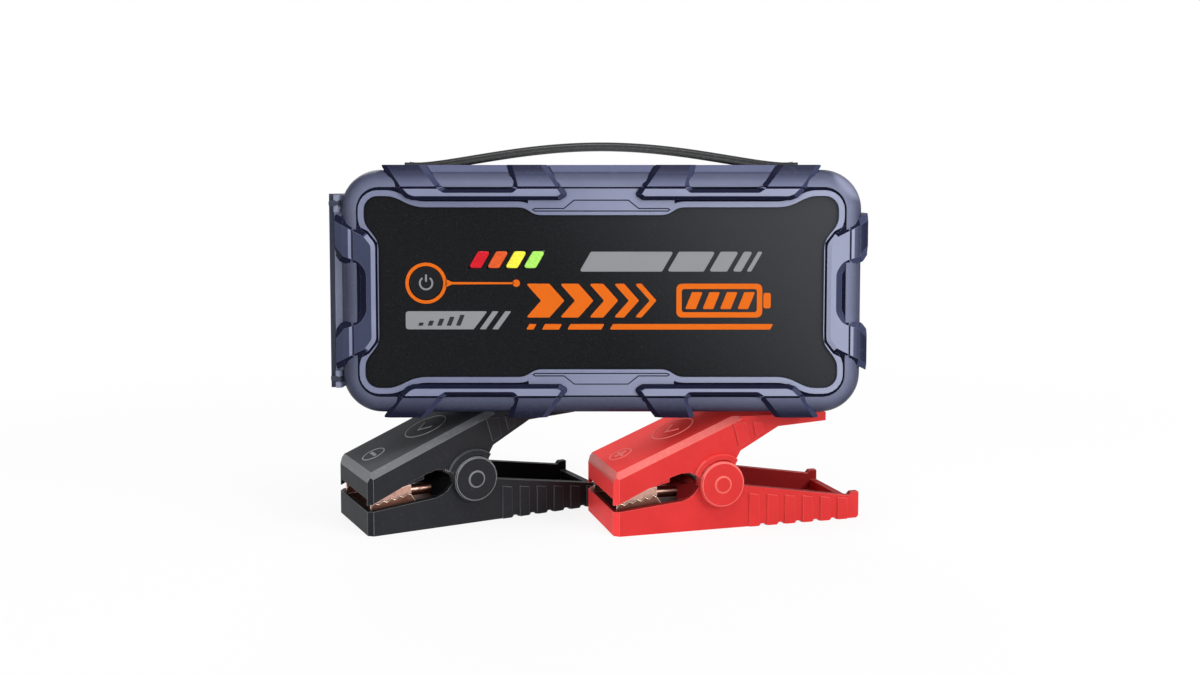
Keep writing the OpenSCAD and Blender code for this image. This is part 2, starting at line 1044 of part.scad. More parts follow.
module led_board() {
    color(board_green)
        in_pack()
            difference() {
                translate([0, 0, led_board_t])
                    block([-90, -13, 0], [-20, 21, led_board_h]);
                board_post_places()
                    translate([0, 0, led_board_t - over])
                        cylinder(r = 0.9 + pin_gap, h = led_board_h + 2 * over);
            }
}

module led_chips() {
    color([0.9, 0.88, 0.8])
        in_pack()
            for (i = [0 : 3])
                translate([bar_x + i * bar_pitch + 4.6, bar_y + bar_h / 2, led_board_t + led_board_h])
                    block([-1.4, -1.8, 0], [1.4, 1.8, 0.9]);
}

module board_screws() {
    color(steel)
        in_pack() {
            board_post_places()
                translate([0, 0, led_board_t - 1]) {
                    cylinder(r = 0.9, h = 6);
                    cylinder(r = 1.8, h = 1);
                }
            main_post_places()
                translate([0, 0, main_board_t - 5]) {
                    cylinder(r = 1.1, h = 5 + main_board_h);
                    translate([0, 0, 5 + main_board_h])
                        cylinder(r = 2, h = 1);
                }
        }
}

// ---------- inside ----------

main_board_t = -8;
main_board_h = 1.6;

module main_post_places() {
    for (x = [-88, -50], y = [-27, 27])
        translate([x, y, 0])
            children();
}

module main_board() {
    color(board_green)
        in_pack()
            difference() {
                block([-92, -31, main_board_t], [-46, 31, main_board_t + main_board_h]);
                main_post_places()
                    translate([0, 0, main_board_t - over])
                        cylinder(r = 1.1 + pin_gap, h = main_board_h + 2 * over);
            }
}

module board_parts() {
    top = main_board_t + main_board_h;
    color([0.18, 0.18, 0.2])
        in_pack()
            translate([0, 0, top]) {
                block([-84, 8, 0], [-68, 22, 9]);
                block([-64, 6, 0], [-52, 20, 5]);
                for (x = [-82, -72])
                    translate([x, -8, 0])
                        cylinder(r = 4, h = 10);
                translate([-58, -10, 0])
                    cylinder(r = 5.5, h = 6);
                for (x = [-80, -70, -60])
                    translate([x, -23, 0])
                        block([-3.5, -3, 0], [3.5, 3, 2.4]);
            }
}

tray_t = 1.4;
cell_x0 = -38;
cell_x1 = 85;
cell_h = 58;
cell_t = 6.2;
cell_gap = 0.2;
cell_floor_t = rest_gap + tray_t - ledge_t;

module cell(i) {
    low = cell_floor_t + i * (cell_t + cell_gap);
    color([0.62, 0.66, 0.72])
        in_pack() {
            translate([(cell_x0 + cell_x1) / 2, 0, low])
                linear_extrude(cell_t)
                    round_rect(cell_x1 - cell_x0, cell_h, 3);
            for (side = [-1, 1])
                translate([cell_x0, side * 17, low + cell_t / 2])
                    block([-1.6, -5, -0.2], [0.5, 5, 0.2]);
        }
}

module cell_1() {
    cell(0);
}

module cell_2() {
    cell(1);
}

module cell_3() {
    cell(2);
}

module cell_4() {
    cell(3);
}

module cell_tray() {
    gap = 0.3;
    low = rest_gap - ledge_t;
    color(dark_grey)
        in_pack()
            difference() {
                block(
                    [cell_x0 - 3, -cell_h / 2 - gap - tray_t, low],
                    [cell_x1 + gap + tray_t, cell_h / 2 + gap + tray_t, 11]
                );
                block(
                    [cell_x0 - 3 - over, -cell_h / 2 - gap, cell_floor_t],
                    [cell_x1 + gap, cell_h / 2 + gap, 11 + over]
                );
            }
}

foam_x0 = -14;

module cell_foam() {
    low = cell_floor_t + 4 * (cell_t + cell_gap);
    color([0.2, 0.2, 0.22])
        in_pack()
            block([foam_x0, 2 - cell_h / 2, low], [cell_x1 - 4, cell_h / 2 - 2, panel_back_t - rest_gap]);
}

busbar_h = 1.2;

module busbar(side) {
    color(copper)
        in_pack() {
            block(
                [cell_x0 - 3.4, side * 17 - 4, cell_floor_t + 0.5],
                [cell_x0 - 1.8, side * 17 + 4, 4.6]
            );
            block(
                [-84, side * 17 - 3, 3.4],
                [cell_x0 - 1.8, side * 17 + 3, 4.6]
            );
        }
}

module busbar_positive() {
    busbar(1);
}

module busbar_negative() {
    busbar(-1);
}

// ---------- clamps ----------

lower_wall_points = [
    [0, 0],
    [clamp_l - 1, 0],
    [clamp_l, 1],
    [clamp_l, 11.4],
    [clamp_l - 3.4, 11.4],
    [clamp_l - 4.6, 10],
    [pivot_u + 12, 17.4],
    [pivot_u, pivot_h],
    [pivot_u - 7.4, pivot_h + 1],
    [pivot_u - 9.4, 18.6],
    [pivot_u - 11.6, 15.6],
    [pivot_u - 13.8, 14],
    [pivot_u - 17, 12.8],
    [0, jaw_nose_h]
];

// Slanted corners of a nose, as a cutter along both of its upright edges
module nose_corners() {
    for (side = [-1, 1])
        translate([0, side * clamp_w / 2, -over])
            rotate([0, 0, 45])
                cube([nose_corner * sqrt(2), nose_corner * sqrt(2), 2 * clamp_h], center = true);
}

module pivot_bore(r) {
    translate([pivot_u, 0, pivot_h])
        rotate([90, 0, 0])
            cylinder(r = r, h = clamp_w + 20, center = true);
}

module lower_lever() {
    difference() {
        union() {
            both_sides(clamp_w / 2 - lever_t, clamp_w / 2)
                union() {
                    polygon(lower_wall_points);
                    translate([pivot_u, pivot_h])
                        circle(disc_r - 0.3);
                }
            // Floor of the channel, the nose block and the end wall
            block([0, -clamp_w / 2 + 1, 0], [clamp_l - 1, clamp_w / 2 - 1, 2.4]);
            across(-clamp_w / 2 + 1, clamp_w / 2 - 1)
                polygon([[0, 0], [32, 0], [32, 7.6], [0, 7.6]]);
            block([0, -clamp_w / 2 + 1, 0], [1.6, clamp_w / 2 - 1, jaw_nose_h]);
            block([clamp_l - lever_t, -clamp_w / 2 + 1, 0], [clamp_l, clamp_w / 2 - 1, 7]);
            // Grip ribs along the handle
            for (i = [0 : 5])
                both_sides(clamp_w / 2 - 1, clamp_w / 2 + rib_t)
                    polygon([
                        [pivot_u + 13 + i * rib_pitch, 0],
                        [pivot_u + 13 + i * rib_pitch + rib_w, 0],
                        [pivot_u + 13 + i * rib_pitch + rib_w, 13.4 - i * 0.9],
                        [pivot_u + 13 + i * rib_pitch, 14.2 - i * 0.9]
                    ]);
        }
        pivot_bore(pin_r + pin_gap);
        nose_corners();
        // Hollows under the handle, one between each two ribs
        for (i = [0 : 4])
            across(-clamp_w / 2 - over, clamp_w / 2 + over)
                polygon([
                    [pivot_u + 13 + rib_w + i * rib_pitch, -over],
                    [pivot_u + 13 + (i + 1) * rib_pitch, -over],
                    [pivot_u + 13 + (i + 1) * rib_pitch - 1, scallop],
                    [pivot_u + 13 + rib_w + 1 + i * rib_pitch, scallop]
                ]);
    }
}

upper_slope = (clamp_h - 0.8 - upper_nose_top) / (crest_u - 2);

upper_wall_points = [
    [0, jaw_nose_h + jaw_gap],
    [0, upper_nose_top - nose_face],
    [nose_face / 2, upper_nose_top + upper_slope * nose_face / 2],
    [crest_u - 2, clamp_h - 0.8],
    [crest_u, clamp_h],
    [paddle_end_u, clamp_h],
    [paddle_end_u, clamp_h - paddle_t],
    [pivot_u + 26, 42],
    [pivot_u + 9, 32.6],
    [pivot_u + 5, pivot_h + 6],
    [pivot_u - 5, pivot_h + 1],
    [pivot_u - 9.8, 22.6],
    [pivot_u - 11.6, 23.9],
    [pivot_u - 14, 24.6],
    [pivot_u - 17.4, 24.5],
    [pivot_u - 20.6, 23.6],
    [pivot_u - 26, 21.6]
];

// The band of the side view that the top plate fills
upper_plate_points = [
    [0, upper_nose_top - 6],
    [0, upper_nose_top - nose_face],
    [nose_face / 2, upper_nose_top + upper_slope * nose_face / 2],
    [crest_u - 2, clamp_h - 0.8],
    [crest_u, clamp_h],
    [paddle_end_u, clamp_h],
    [paddle_end_u, clamp_h - lever_t],
    [crest_u + 1, clamp_h - lever_t],
    [crest_u - 1.6, clamp_h - 0.8 - lever_t],
    [lever_t, upper_nose_top + upper_slope * lever_t - lever_t - 0.6],
    [lever_t, upper_nose_top - 6]
];

module upper_lever() {
    difference() {
        union() {
            difference() {
                both_sides(clamp_w / 2 - lever_t, clamp_w / 2)
                    polygon(upper_wall_points);
                pivot_bore(clear_r);
            }
            // Inner ears on the pin, and the webs that join them to the outer walls
            both_sides(ear_v - inner_ear_t, ear_v)
                union() {
                    translate([pivot_u, pivot_h])
                        circle(disc_r - 0.8);
                    polygon([
                        [pivot_u - 7.4, pivot_h + 2],
                        [pivot_u + 7.4, pivot_h + 2],
                        [pivot_u + 10, 36],
                        [pivot_u + 4, clamp_h - 2.4],
                        [pivot_u - 12, 38.4],
                        [pivot_u - 10, 30]
                    ]);
                }
            both_sides(ear_v - 1, clamp_w / 2 - lever_t + 1)
                polygon([
                    [pivot_u - 7, 32.4],
                    [pivot_u + 7.6, 33.2],
                    [pivot_u + 8, 37],
                    [pivot_u - 6, 37]
                ]);
            across(-clamp_w / 2 + 1, clamp_w / 2 - 1)
                polygon(upper_plate_points);
            // Raised panels on both sides of the handle
            both_sides(clamp_w / 2 - 1, clamp_w / 2 + rib_t) {
                polygon([[51.6, 44.4], [54.4, 34.2], [58.8, 36.6], [57, 44.4]]);
                polygon([[60.4, 44.4], [61.8, 38.6], [65.2, 40.4], [64.4, 44.4]]);
            }
            // Block that holds the toothed plate
            across(-clamp_w / 2 + 1, clamp_w / 2 - 1)
                polygon([
                    [0, seat_h],
                    [0, upper_nose_top - nose_face],
                    [nose_face / 2, upper_nose_top - 1],
                    [24, upper_nose_top - 1 + 24 * upper_slope],
                    [24, seat_h + 24 * seat_slope + 1.2]
                ]);
            // Raised rims on the walls, over the pivot discs
            both_sides(clamp_w / 2 - 1, clamp_w / 2 + boss_rise)
                intersection() {
                    difference() {
                        translate([pivot_u, pivot_h])
                            circle(clear_r + boss_w);
                        translate([pivot_u, pivot_h])
                            circle(clear_r);
                    }
                    polygon(upper_wall_points);
                }
        }
        nose_corners();
        pivot_bore(pin_r + pin_gap);
        // Sloped edges along both sides of the top
        for (side = [-1, 1])
            translate([0, side * clamp_w / 2, upper_nose_top])
                rotate([0, -atan(upper_slope), 0])
                    rotate([side * 45, 0, 0])
                        translate([-5, -1.7, -1.7])
                            cube([crest_u + 12, 3.4, 3.4]);
    }
}

// Side view of a toothed edge: teeth along a slope, closed off at the given level
function teeth_edge(n) = [
    for (i = [0 : 2 * n])
        [
            1.6 + slide_gap + i * tooth_pitch / 2,
            tooth_line_h + (1.6 + i * tooth_pitch / 2) * tooth_slope + (i % 2 == 0 ? 0 : tooth_h)
        ]
];
tooth_count = 5;

module lower_jaw() {
    edge = teeth_edge(tooth_count);
    last = edge[len(edge) - 1][0];
    floor_h = 7.6;
    side_v = clamp_w / 2 - lever_t - 0.6;
    union() {
        both_sides(side_v - copper_t, side_v)
            polygon(concat(
                [[edge[0][0], floor_h]],
                edge,
                [[last + 3, floor_h + copper_t + 1], [last + 3, floor_h]]
            ));
        block([edge[0][0], -side_v + 0.5, floor_h], [34, side_v - 0.5, floor_h + copper_t]);
    }
}

module upper_jaw() {
    edge = teeth_edge(tooth_count);
    last = edge[len(edge) - 1][0];
    side_v = clamp_w / 2 - lever_t - 0.6;
    raised = [for (p = edge) [p[0], p[1] + slide_gap]];
    band = [
        [edge[0][0], seat_h + edge[0][0] * seat_slope - copper_t],
        [last, seat_h + last * seat_slope - copper_t],
        [last, seat_h + last * seat_slope - 0.05],
        [edge[0][0], seat_h + edge[0][0] * seat_slope - 0.05]
    ];
    union() {
        both_sides(side_v - copper_t, side_v)
            polygon(concat(raised, [band[2], band[3]]));
        across(-side_v + 0.5, side_v - 0.5)
            polygon(band);
    }
}

ferrule_h = 7.6 + copper_t + flare_r;

module ferrule() {
    translate([teeth_u, ferrule_v, ferrule_h])
        rotate([0, 90, 0])
            difference() {
                union() {
                    cylinder(r1 = flare_r, r2 = 2.5, h = 1.6);
                    translate([0, 0, 1.5])
                        cylinder(r = 2.5, h = 10);
                }
                translate([0, 0, -over])
                    cylinder(r = 1.9, h = 14);
            }
}

module pivot_pin() {
    translate([pivot_u, 0, pivot_h])
        rotate([90, 0, 0])
            cylinder(r = pin_r, h = clamp_w + 2 * (cap_t - 1.2), center = true);
}

// Disc caps on the two ends of the pin, with a raised centre
module pivot_caps() {
    for (side = [0, 1])
        mirror([0, side, 0])
            translate([pivot_u, clamp_w / 2 + rest_gap, pivot_h])
                rotate([-90, 0, 0])
                    difference() {
                        union() {
                            cylinder(r = disc_r, h = cap_t - 0.6);
                            translate([0, 0, cap_t - 0.61])
                                cylinder(r1 = disc_r, r2 = disc_r - 0.6, h = 0.61);
                            cylinder(r = 3.2, h = cap_t + 0.4);
                        }
                        translate([0, 0, -over])
                            cylinder(r = pin_r + pin_gap, h = cap_t - 1.2 + over + 0.1);
                    }
}

// An unbroken round tube along a path that never runs along v
module tube(path, r, sides) {
    last = len(path) - 1;
    rings = [
        for (i = [0 : last])
            let (
                t = unit(path[min(i + 1, last)] - path[max(i - 1, 0)]),
                a = unit(cross(t, [0, 1, 0])),
                b = cross(a, t)
            )
            [for (k = [0 : sides - 1]) path[i] + r * (a * cos(k * 360 / sides) + b * sin(k * 360 / sides))]
    ];
    points = [for (ring = rings) for (p = ring) p];
    skin = [
        for (i = [0 : last - 1], k = [0 : sides - 1])
            [
                i * sides + k,
                i * sides + (k + 1) % sides,
                (i + 1) * sides + (k + 1) % sides,
                (i + 1) * sides + k
            ]
    ];
    ends = [
        [for (k = [sides - 1 : -1 : 0]) k],
        [for (k = [0 : sides - 1]) last * sides + k]
    ];
    polyhedron(points, concat(skin, ends), convexity = 6);
}

// Torsion spring: a leg on the lower handle's floor, the coil round the pin, a leg under the paddle
spring_start = -90;
spring_steps = 14;
spring_path = concat(
    [[pivot_u + 15, -coil_turns * coil_pitch / 2, 2.4 + wire_r + 0.1]],
    [
        for (i = [0 : coil_turns * spring_steps + 7])
            let (a = spring_start - i * 360 / spring_steps)
            [
                pivot_u + coil_r * cos(a),
                -coil_turns * coil_pitch / 2 + i * coil_pitch / spring_steps,
                pivot_h + coil_r * sin(a)
            ]
    ],
    [[pivot_u + 13, coil_turns * coil_pitch / 2 + coil_pitch / 2, clamp_h - lever_t - wire_r - 0.2]]
);

module torsion_spring() {
    tube(spring_path, wire_r, 8);
}

echo(str("spring: least gap between turns ", coil_pitch - 2 * wire_r));

module black_lower_lever() {
    color(black) in_black() lower_lever();
}

module black_upper_lever() {
    color(black) in_black() upper_lever();
}

module black_lower_jaw() {
    color(copper) in_black() lower_jaw();
}

module black_upper_jaw() {
    color(copper) in_black() upper_jaw();
}

module black_ferrule() {
    color(copper) in_black() ferrule();
}

module black_pivot_pin() {
    color(steel) in_black() pivot_pin();
}

module black_pivot_caps() {
    color(black) in_black() pivot_caps();
}

module black_spring() {
    color(steel) in_black() torsion_spring();
}

module red_lower_lever() {
    color(clamp_red) in_red() lower_lever();
}

module red_upper_lever() {
    color(clamp_red) in_red() upper_lever();
}

module red_lower_jaw() {
    color(copper) in_red() lower_jaw();
}

module red_upper_jaw() {
    color(copper) in_red() upper_jaw();
}

module red_ferrule() {
    color(copper) in_red() ferrule();
}

module red_pivot_pin() {
    color(steel) in_red() pivot_pin();
}

module red_pivot_caps() {
    color(clamp_red) in_red() pivot_caps();
}

module red_spring() {
    color(steel) in_red() torsion_spring();
}

front_frame();
rear_frame();
case_gasket();
case_screws();
front_panel();
rear_panel();
guard_top_left();
guard_top_right();
guard_bottom_left();
guard_bottom_right();
guard_left();
guard_right();
carry_strap();
strap_screws();
port_bezel();
output_socket();
usb_a_ports();
usb_c_port();
dc_jack();
door_hinge_pins();
port_door();
power_button();
button_switch();
led_window_red();
led_window_orange();
led_window_yellow();
led_window_green();
led_board();
led_chips();
board_screws();
main_board();
board_parts();
cell_1();
cell_2();
cell_3();
cell_4();
cell_tray();
cell_foam();
busbar_positive();
busbar_negative();
black_lower_lever();
black_upper_lever();
black_lower_jaw();
black_upper_jaw();
black_ferrule();
black_pivot_pin();
black_pivot_caps();
black_spring();
red_lower_lever();
red_upper_lever();
red_lower_jaw();
red_upper_jaw();
red_ferrule();
red_pivot_pin();
red_pivot_caps();
red_spring();
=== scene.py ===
"""Jump starter pack resting on its two battery clamps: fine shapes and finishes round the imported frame.

Sizes inside the classes are in millimetres. A pack piece is made on the pack's own face plane, with
x to the right, y up and z towards the viewer, and a clamp piece in the clamp's side view, with
x along it, y across it and z up. Each is then carried to its place in the frame, in metres.
"""

import logging
import math
from dataclasses import dataclass, field
from enum import Enum, IntEnum
from typing import Callable, Iterable, Mapping, Optional, Sequence, Union

import bmesh
import bpy
from mathutils import Matrix, Vector


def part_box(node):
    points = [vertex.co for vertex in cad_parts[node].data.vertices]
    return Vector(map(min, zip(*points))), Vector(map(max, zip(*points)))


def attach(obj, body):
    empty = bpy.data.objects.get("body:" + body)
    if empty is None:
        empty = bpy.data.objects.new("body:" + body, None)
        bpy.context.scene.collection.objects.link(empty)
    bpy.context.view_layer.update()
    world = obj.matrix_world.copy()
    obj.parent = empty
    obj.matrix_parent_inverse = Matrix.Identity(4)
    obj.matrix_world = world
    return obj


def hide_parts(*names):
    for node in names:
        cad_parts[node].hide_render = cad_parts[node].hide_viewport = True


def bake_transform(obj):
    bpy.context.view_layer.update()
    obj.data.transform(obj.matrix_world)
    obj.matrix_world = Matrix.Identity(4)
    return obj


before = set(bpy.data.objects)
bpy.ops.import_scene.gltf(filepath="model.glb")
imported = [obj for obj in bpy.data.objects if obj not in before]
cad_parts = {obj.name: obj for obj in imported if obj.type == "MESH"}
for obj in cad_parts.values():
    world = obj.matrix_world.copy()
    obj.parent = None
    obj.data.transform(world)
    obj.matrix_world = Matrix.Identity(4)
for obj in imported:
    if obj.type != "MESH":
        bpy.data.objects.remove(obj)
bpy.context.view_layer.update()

LOG = logging.getLogger("jump_starter")
MM = 0.001
PACK_MIDDLE = (1.509, 99.6)
CORNER = (91.2, 34.0)
BUTTON = (-72.2, 3.8)
EVEN = (1, 1, 1)
FLAT = 0.99

Point = tuple[float, float]
Colour = tuple[float, float, float, float]
Feed = Union["Wire", float, Sequence[float]]
Element = Union[bmesh.types.BMEdge, bmesh.types.BMFace]


def ink(red: int, green: int, blue: int) -> Colour:
    """Turns a screen colour of 0 to 255 into the linear colour that a shader takes.

    Args:
        red: Red as seen on a screen.
        green: Green as seen on a screen.
        blue: Blue as seen on a screen.

    Returns:
        The linear colour with full alpha.
    """
    linear = [
        part / 12.92 if part <= 0.04045 else ((part + 0.055) / 1.055) ** 2.4
        for part in (red / 255, green / 255, blue / 255)
    ]
    return (linear[0], linear[1], linear[2], 1.0)


# Painted light: a painted shade for the pack's outer edge and lower left, and a painted sheen for its upper
# right corner.
PAINTED_SHADE = ink(14, 16, 36)
SHEEN = ink(190, 194, 222)


# ---------- shader toolkit ----------


class Wire:
    """One output socket of a shader node, usable in Python sums."""

    def __init__(self, paint: "Paint", socket: Optional[bpy.types.NodeSocket]) -> None:
        """Keeps the socket and the paint it belongs to."""
        self.paint = paint
        self.socket = socket

    def _sum(self, operation: str, *terms: Feed) -> "Wire":
        """Adds one Math node and returns its result."""
        return self.paint.node("ShaderNodeMath", {"operation": operation}, dict(enumerate(terms)))

    def __add__(self, other: Feed) -> "Wire":
        """Sum."""
        return self._sum("ADD", self, other)

    def __sub__(self, other: Feed) -> "Wire":
        """Difference."""
        return self._sum("SUBTRACT", self, other)

    def __mul__(self, other: Feed) -> "Wire":
        """Product."""
        return self._sum("MULTIPLY", self, other)

    def __abs__(self) -> "Wire":
        """Size without its sign."""
        return self._sum("ABSOLUTE", self)

    def __pow__(self, other: float) -> "Wire":
        """Power."""
        return self._sum("POWER", self, other)

    def wave(self) -> "Wire":
        """Sine of the value in radians."""
        return self._sum("SINE", self)

    def beyond(self, limit: float) -> "Wire":
        """What the value has above a limit, or 0."""
        return self._sum("MAXIMUM", self - limit, 0.0)

    def ramp(self, low: float, high: float, start: float = 0.0, end: float = 1.0) -> "Wire":
        """Maps low..high smoothly to start..end and holds the ends.

        Args:
            low: Value at which the ramp starts.
            high: Value at which it ends.
            start: Result at and before low.
            end: Result at and after high.

        Returns:
            The mapped value.
        """
        return self.paint.node(
            "ShaderNodeMapRange",
            {"interpolation_type": "SMOOTHSTEP", "clamp": True},
            {0: self, 1: low, 2: high, 3: start, 4: end},
        )


class Paint:
    """A material in the making: it adds nodes and gives their outputs as wires."""

    def __init__(self, name: str, world: Optional[bpy.types.World] = None) -> None:
        """Starts an empty material, or empties the surroundings' nodes.

        Args:
            name: The material's name.
            world: The surroundings to paint, in place of a material.
        """
        self.painted = world or bpy.data.materials.new(name)
        self.painted.use_nodes = True
        self.tree = self.painted.node_tree
        self.tree.nodes.clear()

    def node(
        self,
        kind: str,
        settings: Optional[Mapping[str, object]] = None,
        feeds: Optional[Mapping[Union[int, str], Feed]] = None,
        output: Union[int, str] = 0,
    ) -> Wire:
        """Adds one node.

        Args:
            kind: The node's type.
            settings: Its own settings, set first.
            feeds: Values or wires for its input sockets.
            output: The output socket that is wanted.

        Returns:
            That output as a wire.
        """
        made = self.tree.nodes.new(kind)
        for name, value in (settings or {}).items():
            setattr(made, name, value)
        for key, value in (feeds or {}).items():
            if isinstance(value, Wire):
                self.tree.links.new(value.socket, made.inputs[key])
            else:
                made.inputs[key].default_value = value
        return Wire(self, made.outputs[output] if len(made.outputs) else None)

    def place(self, scale: Sequence[float] = EVEN) -> Wire:
        """Gives the object's own coordinates, stretched along each axis."""
        own = self.node("ShaderNodeTexCoord", output="Object")
        if scale == EVEN:
            return own
        return self.node("ShaderNodeMapping", feeds={"Vector": own, "Scale": scale})

    def parts(self) -> tuple[Wire, Wire, Wire]:
        """Gives the object's x, y and z in millimetres."""
        own = self.node("ShaderNodeVectorMath", {"operation": "SCALE"}, {0: self.place(), "Scale": 1 / MM})
        split = self.node("ShaderNodeSeparateXYZ", feeds={0: own})
        outputs = split.socket.node.outputs
        return Wire(self, outputs[0]), Wire(self, outputs[1]), Wire(self, outputs[2])

    def noise(
        self, per_mm: float, detail: float = 2.0, rough: float = 0.5, scale: Sequence[float] = EVEN
    ) -> Wire:
        """Gives soft noise of 0 to 1.

        Args:
            per_mm: How many blobs there are to a millimetre.
            detail: How many finer layers it has.
            rough: How strong the finer layers are.
            scale: Stretch of the pattern along each axis.

        Returns:
            The noise value.
        """
        feeds = {"Vector": self.place(scale), "Scale": per_mm / MM, "Detail": detail, "Roughness": rough}
        return self.node("ShaderNodeTexNoise", feeds=feeds)

    def cells(self, per_mm: float) -> Wire:
        """Gives the distance to the middle of small random cells."""
        return self.node("ShaderNodeTexVoronoi", feeds={"Vector": self.place(), "Scale": per_mm / MM})

    def mix(self, mask: Feed, first: Feed, second: Feed) -> Wire:
        """Blends two colours by a mask."""
        return self.node("ShaderNodeMix", {"data_type": "RGBA"}, {0: mask, 6: first, 7: second}, output=2)

    def bump(self, height: Feed, depth_mm: float, strength: float = 1.0) -> Wire:
        """Turns a height of 0 to 1 into a bumped normal.

        Args:
            height: The height pattern.
            depth_mm: How deep the pattern is.
            strength: How strongly it shades.

        Returns:
            The normal.
        """
        feeds = {"Strength": strength, "Distance": depth_mm * MM, "Height": height}
        return self.node("ShaderNodeBump", feeds=feeds)

    def finish(self, fixed: Optional[Mapping[str, Feed]] = None, **feeds: Feed) -> bpy.types.Material:
        """Ends the paint in a Principled surface.

        Args:
            fixed: Values for sockets, by their full names.
            feeds: Colour, roughness and so on; an underscore stands for a space.

        Returns:
            The finished material.
        """
        sockets: dict[Union[int, str], Feed] = dict(fixed or {})
        sockets.update({key.replace("_", " ").title(): value for key, value in feeds.items()})
        self.output(self.node("ShaderNodeBsdfPrincipled", feeds=sockets))
        return self.painted

    def output(self, surface: Wire) -> None:
        """Links a shader to the material's output."""
        self.node("ShaderNodeOutputMaterial", feeds={"Surface": surface})


# ---------- finishes ----------


class Grain(Enum):
    """How the surface of a moulding is textured: blobs to a millimetre and depth in millimetres."""

    POLISHED = (0.6, 0.004)
    SATIN = (4.0, 0.010)


@dataclass(frozen=True)
class MouldedPlastic:
    """Moulded plastic with a fine grain, slight cloudiness and pale scuffs where it is worn."""

    name: str
    colour: Colour
    cloud: Colour
    worn: Colour
    roughness: float
    wear: float
    specular: float
    ior: float
    grain: Grain = Grain.SATIN
    metallic: float = 0.0
    # glow makes the finish glow as painted light.
    glow: float = 0.0
    # rim gives a painted shade towards the pack's outer edge, right a painted light towards its right side.
    rim: Optional[Colour] = None
    right: Optional[Colour] = None

    def paint(self) -> bpy.types.Material:
        """Builds the material."""
        paint = Paint(self.name)
        per_mm, depth = self.grain.value
        grain = paint.noise(per_mm, 3.0, 0.6)
        cloud = paint.noise(0.05, 3.0, 0.55).ramp(0.35, 0.7)
        scuffs = paint.noise(0.5, 4.0, 0.7).ramp(0.52, 0.72)
        body = paint.mix(cloud, self.colour, self.cloud)
        if self.rim or self.right:
            body = self._painted_light_and_shade(paint, body)
        body = paint.mix(scuffs * self.wear, body, self.worn)
        fixed = {
            "Specular IOR Level": self.specular,
            "IOR": self.ior,
            "Metallic": self.metallic,
            "Emission Strength": self.glow,
        }
        return paint.finish(
            fixed,
            base_color=body,
            emission_color=body,
            roughness=grain * 0.10 + cloud * 0.05 + (self.roughness - 0.07),
            normal=paint.bump(grain, depth, 0.5),
        )

    def _painted_light_and_shade(self, paint: Paint, body: Wire) -> Wire:
        """Paints shade towards the pack's outer edge and its lower left, paints light towards the right, and
        paints a highlight on the upper right corner.
        """
        across, _, up = paint.parts()
        across, up = across - PACK_MIDDLE[0], up - PACK_MIDDLE[1]
        if self.right:
            # Painted light: paler towards the pack's right side.
            body = paint.mix(across.ramp(-70.0, 105.0), body, self.right)
        if self.rim:
            beside, above = abs(across).beyond(CORNER[0]), abs(up).beyond(CORNER[1])
            outward = (beside * beside + above * above) ** 0.5
            # Painted shade: darker towards the pack's outer edge.
            body = paint.mix(outward.ramp(8.0, 17.5), body, self.rim)
            # Painted shade: darker towards the pack's lower left.
            low = (across * 0.0046 + up * 0.01).ramp(0.3, -0.5, 0.0, 0.5)
            body = paint.mix(low, body, PAINTED_SHADE)
            # Painted highlight on the upper right corner.
            highlight_streak = across.beyond(CORNER[0]) * up.beyond(CORNER[1])
            body = paint.mix(highlight_streak.ramp(40.0, 85.0, 0.0, 0.35) * outward.ramp(17.0, 14.0), body, SHEEN)
        return body


@dataclass(frozen=True)
class GrainedPanel:
    """Black panel with a spark-eroded grain, tiny pale specks in it and a painted sheen towards the upper
    right.
    """

    name: str
    colour: Colour
    # The colour of the painted sheen.
    pale: Colour
    speck: Colour

    def paint(self) -> bpy.types.Material:
        """Builds the material, with a painted sheen that makes it paler towards the upper right."""
        paint = Paint(self.name)
        grain = paint.noise(2.2, 4.0, 0.7)
        specks = paint.cells(1.6).ramp(0.32, 0.1) * paint.noise(1.1, 2.0).ramp(0.5, 0.72)
        across, _, up = paint.parts()
        # Painted sheen: paler towards the upper right.
        rise = (across - PACK_MIDDLE[0] + (up - PACK_MIDDLE[1]) * 0.86).ramp(-25.0, 135.0)
        ground = paint.mix(rise, self.colour, self.pale)
        return paint.finish(
            {"Specular IOR Level": 0.1},
            base_color=paint.mix(specks * 0.6 + grain.ramp(0.45, 0.75) * 0.2, ground, self.speck),
            roughness=grain * 0.2 + 0.42,
            normal=paint.bump(grain + specks * 0.6, 0.03, 0.6),
        )


@dataclass(frozen=True)
class StrapRubber:
    """Soft black rubber with fine lengthways ribs."""

    name: str
    colour: Colour
    pale: Colour

    def paint(self) -> bpy.types.Material:
        """Builds the material."""
        paint = Paint(self.name)
        _, depth, _ = paint.parts()
        rib = (depth * 4.2).wave().ramp(-1.0, 1.0)
        dust = paint.noise(0.6, 4.0, 0.65)
        return paint.finish(
            {"Specular IOR Level": 0.35, "Sheen Weight": 0.08},
            base_color=paint.mix(dust.ramp(0.4, 0.8) * 0.5, self.colour, self.pale),
            roughness=dust * 0.2 + 0.5,
            normal=paint.bump(rib * 0.8 + dust * 0.4, 0.06, 0.5),
        )


@dataclass(frozen=True)
class Metal:
    """Bare metal with fine drawn lines and some tarnish."""

    name: str
    colour: Colour
    tarnish: Colour
    roughness: float = 0.28
    stretch: tuple[float, float, float] = (0.3, 1.0, 1.6)

    def paint(self) -> bpy.types.Material:
        """Builds the material."""
        paint = Paint(self.name)
        drawn = paint.noise(2.4, 3.0, 0.6, self.stretch)
        stain = paint.noise(0.28, 4.0, 0.65).ramp(0.45, 0.75)
        return paint.finish(
            {"Metallic": 1.0},
            base_color=paint.mix(stain * 0.7, self.colour, self.tarnish),
            roughness=drawn * 0.14 + stain * 0.12 + self.roughness - 0.07,
            normal=paint.bump(drawn, 0.01, 0.4),
        )


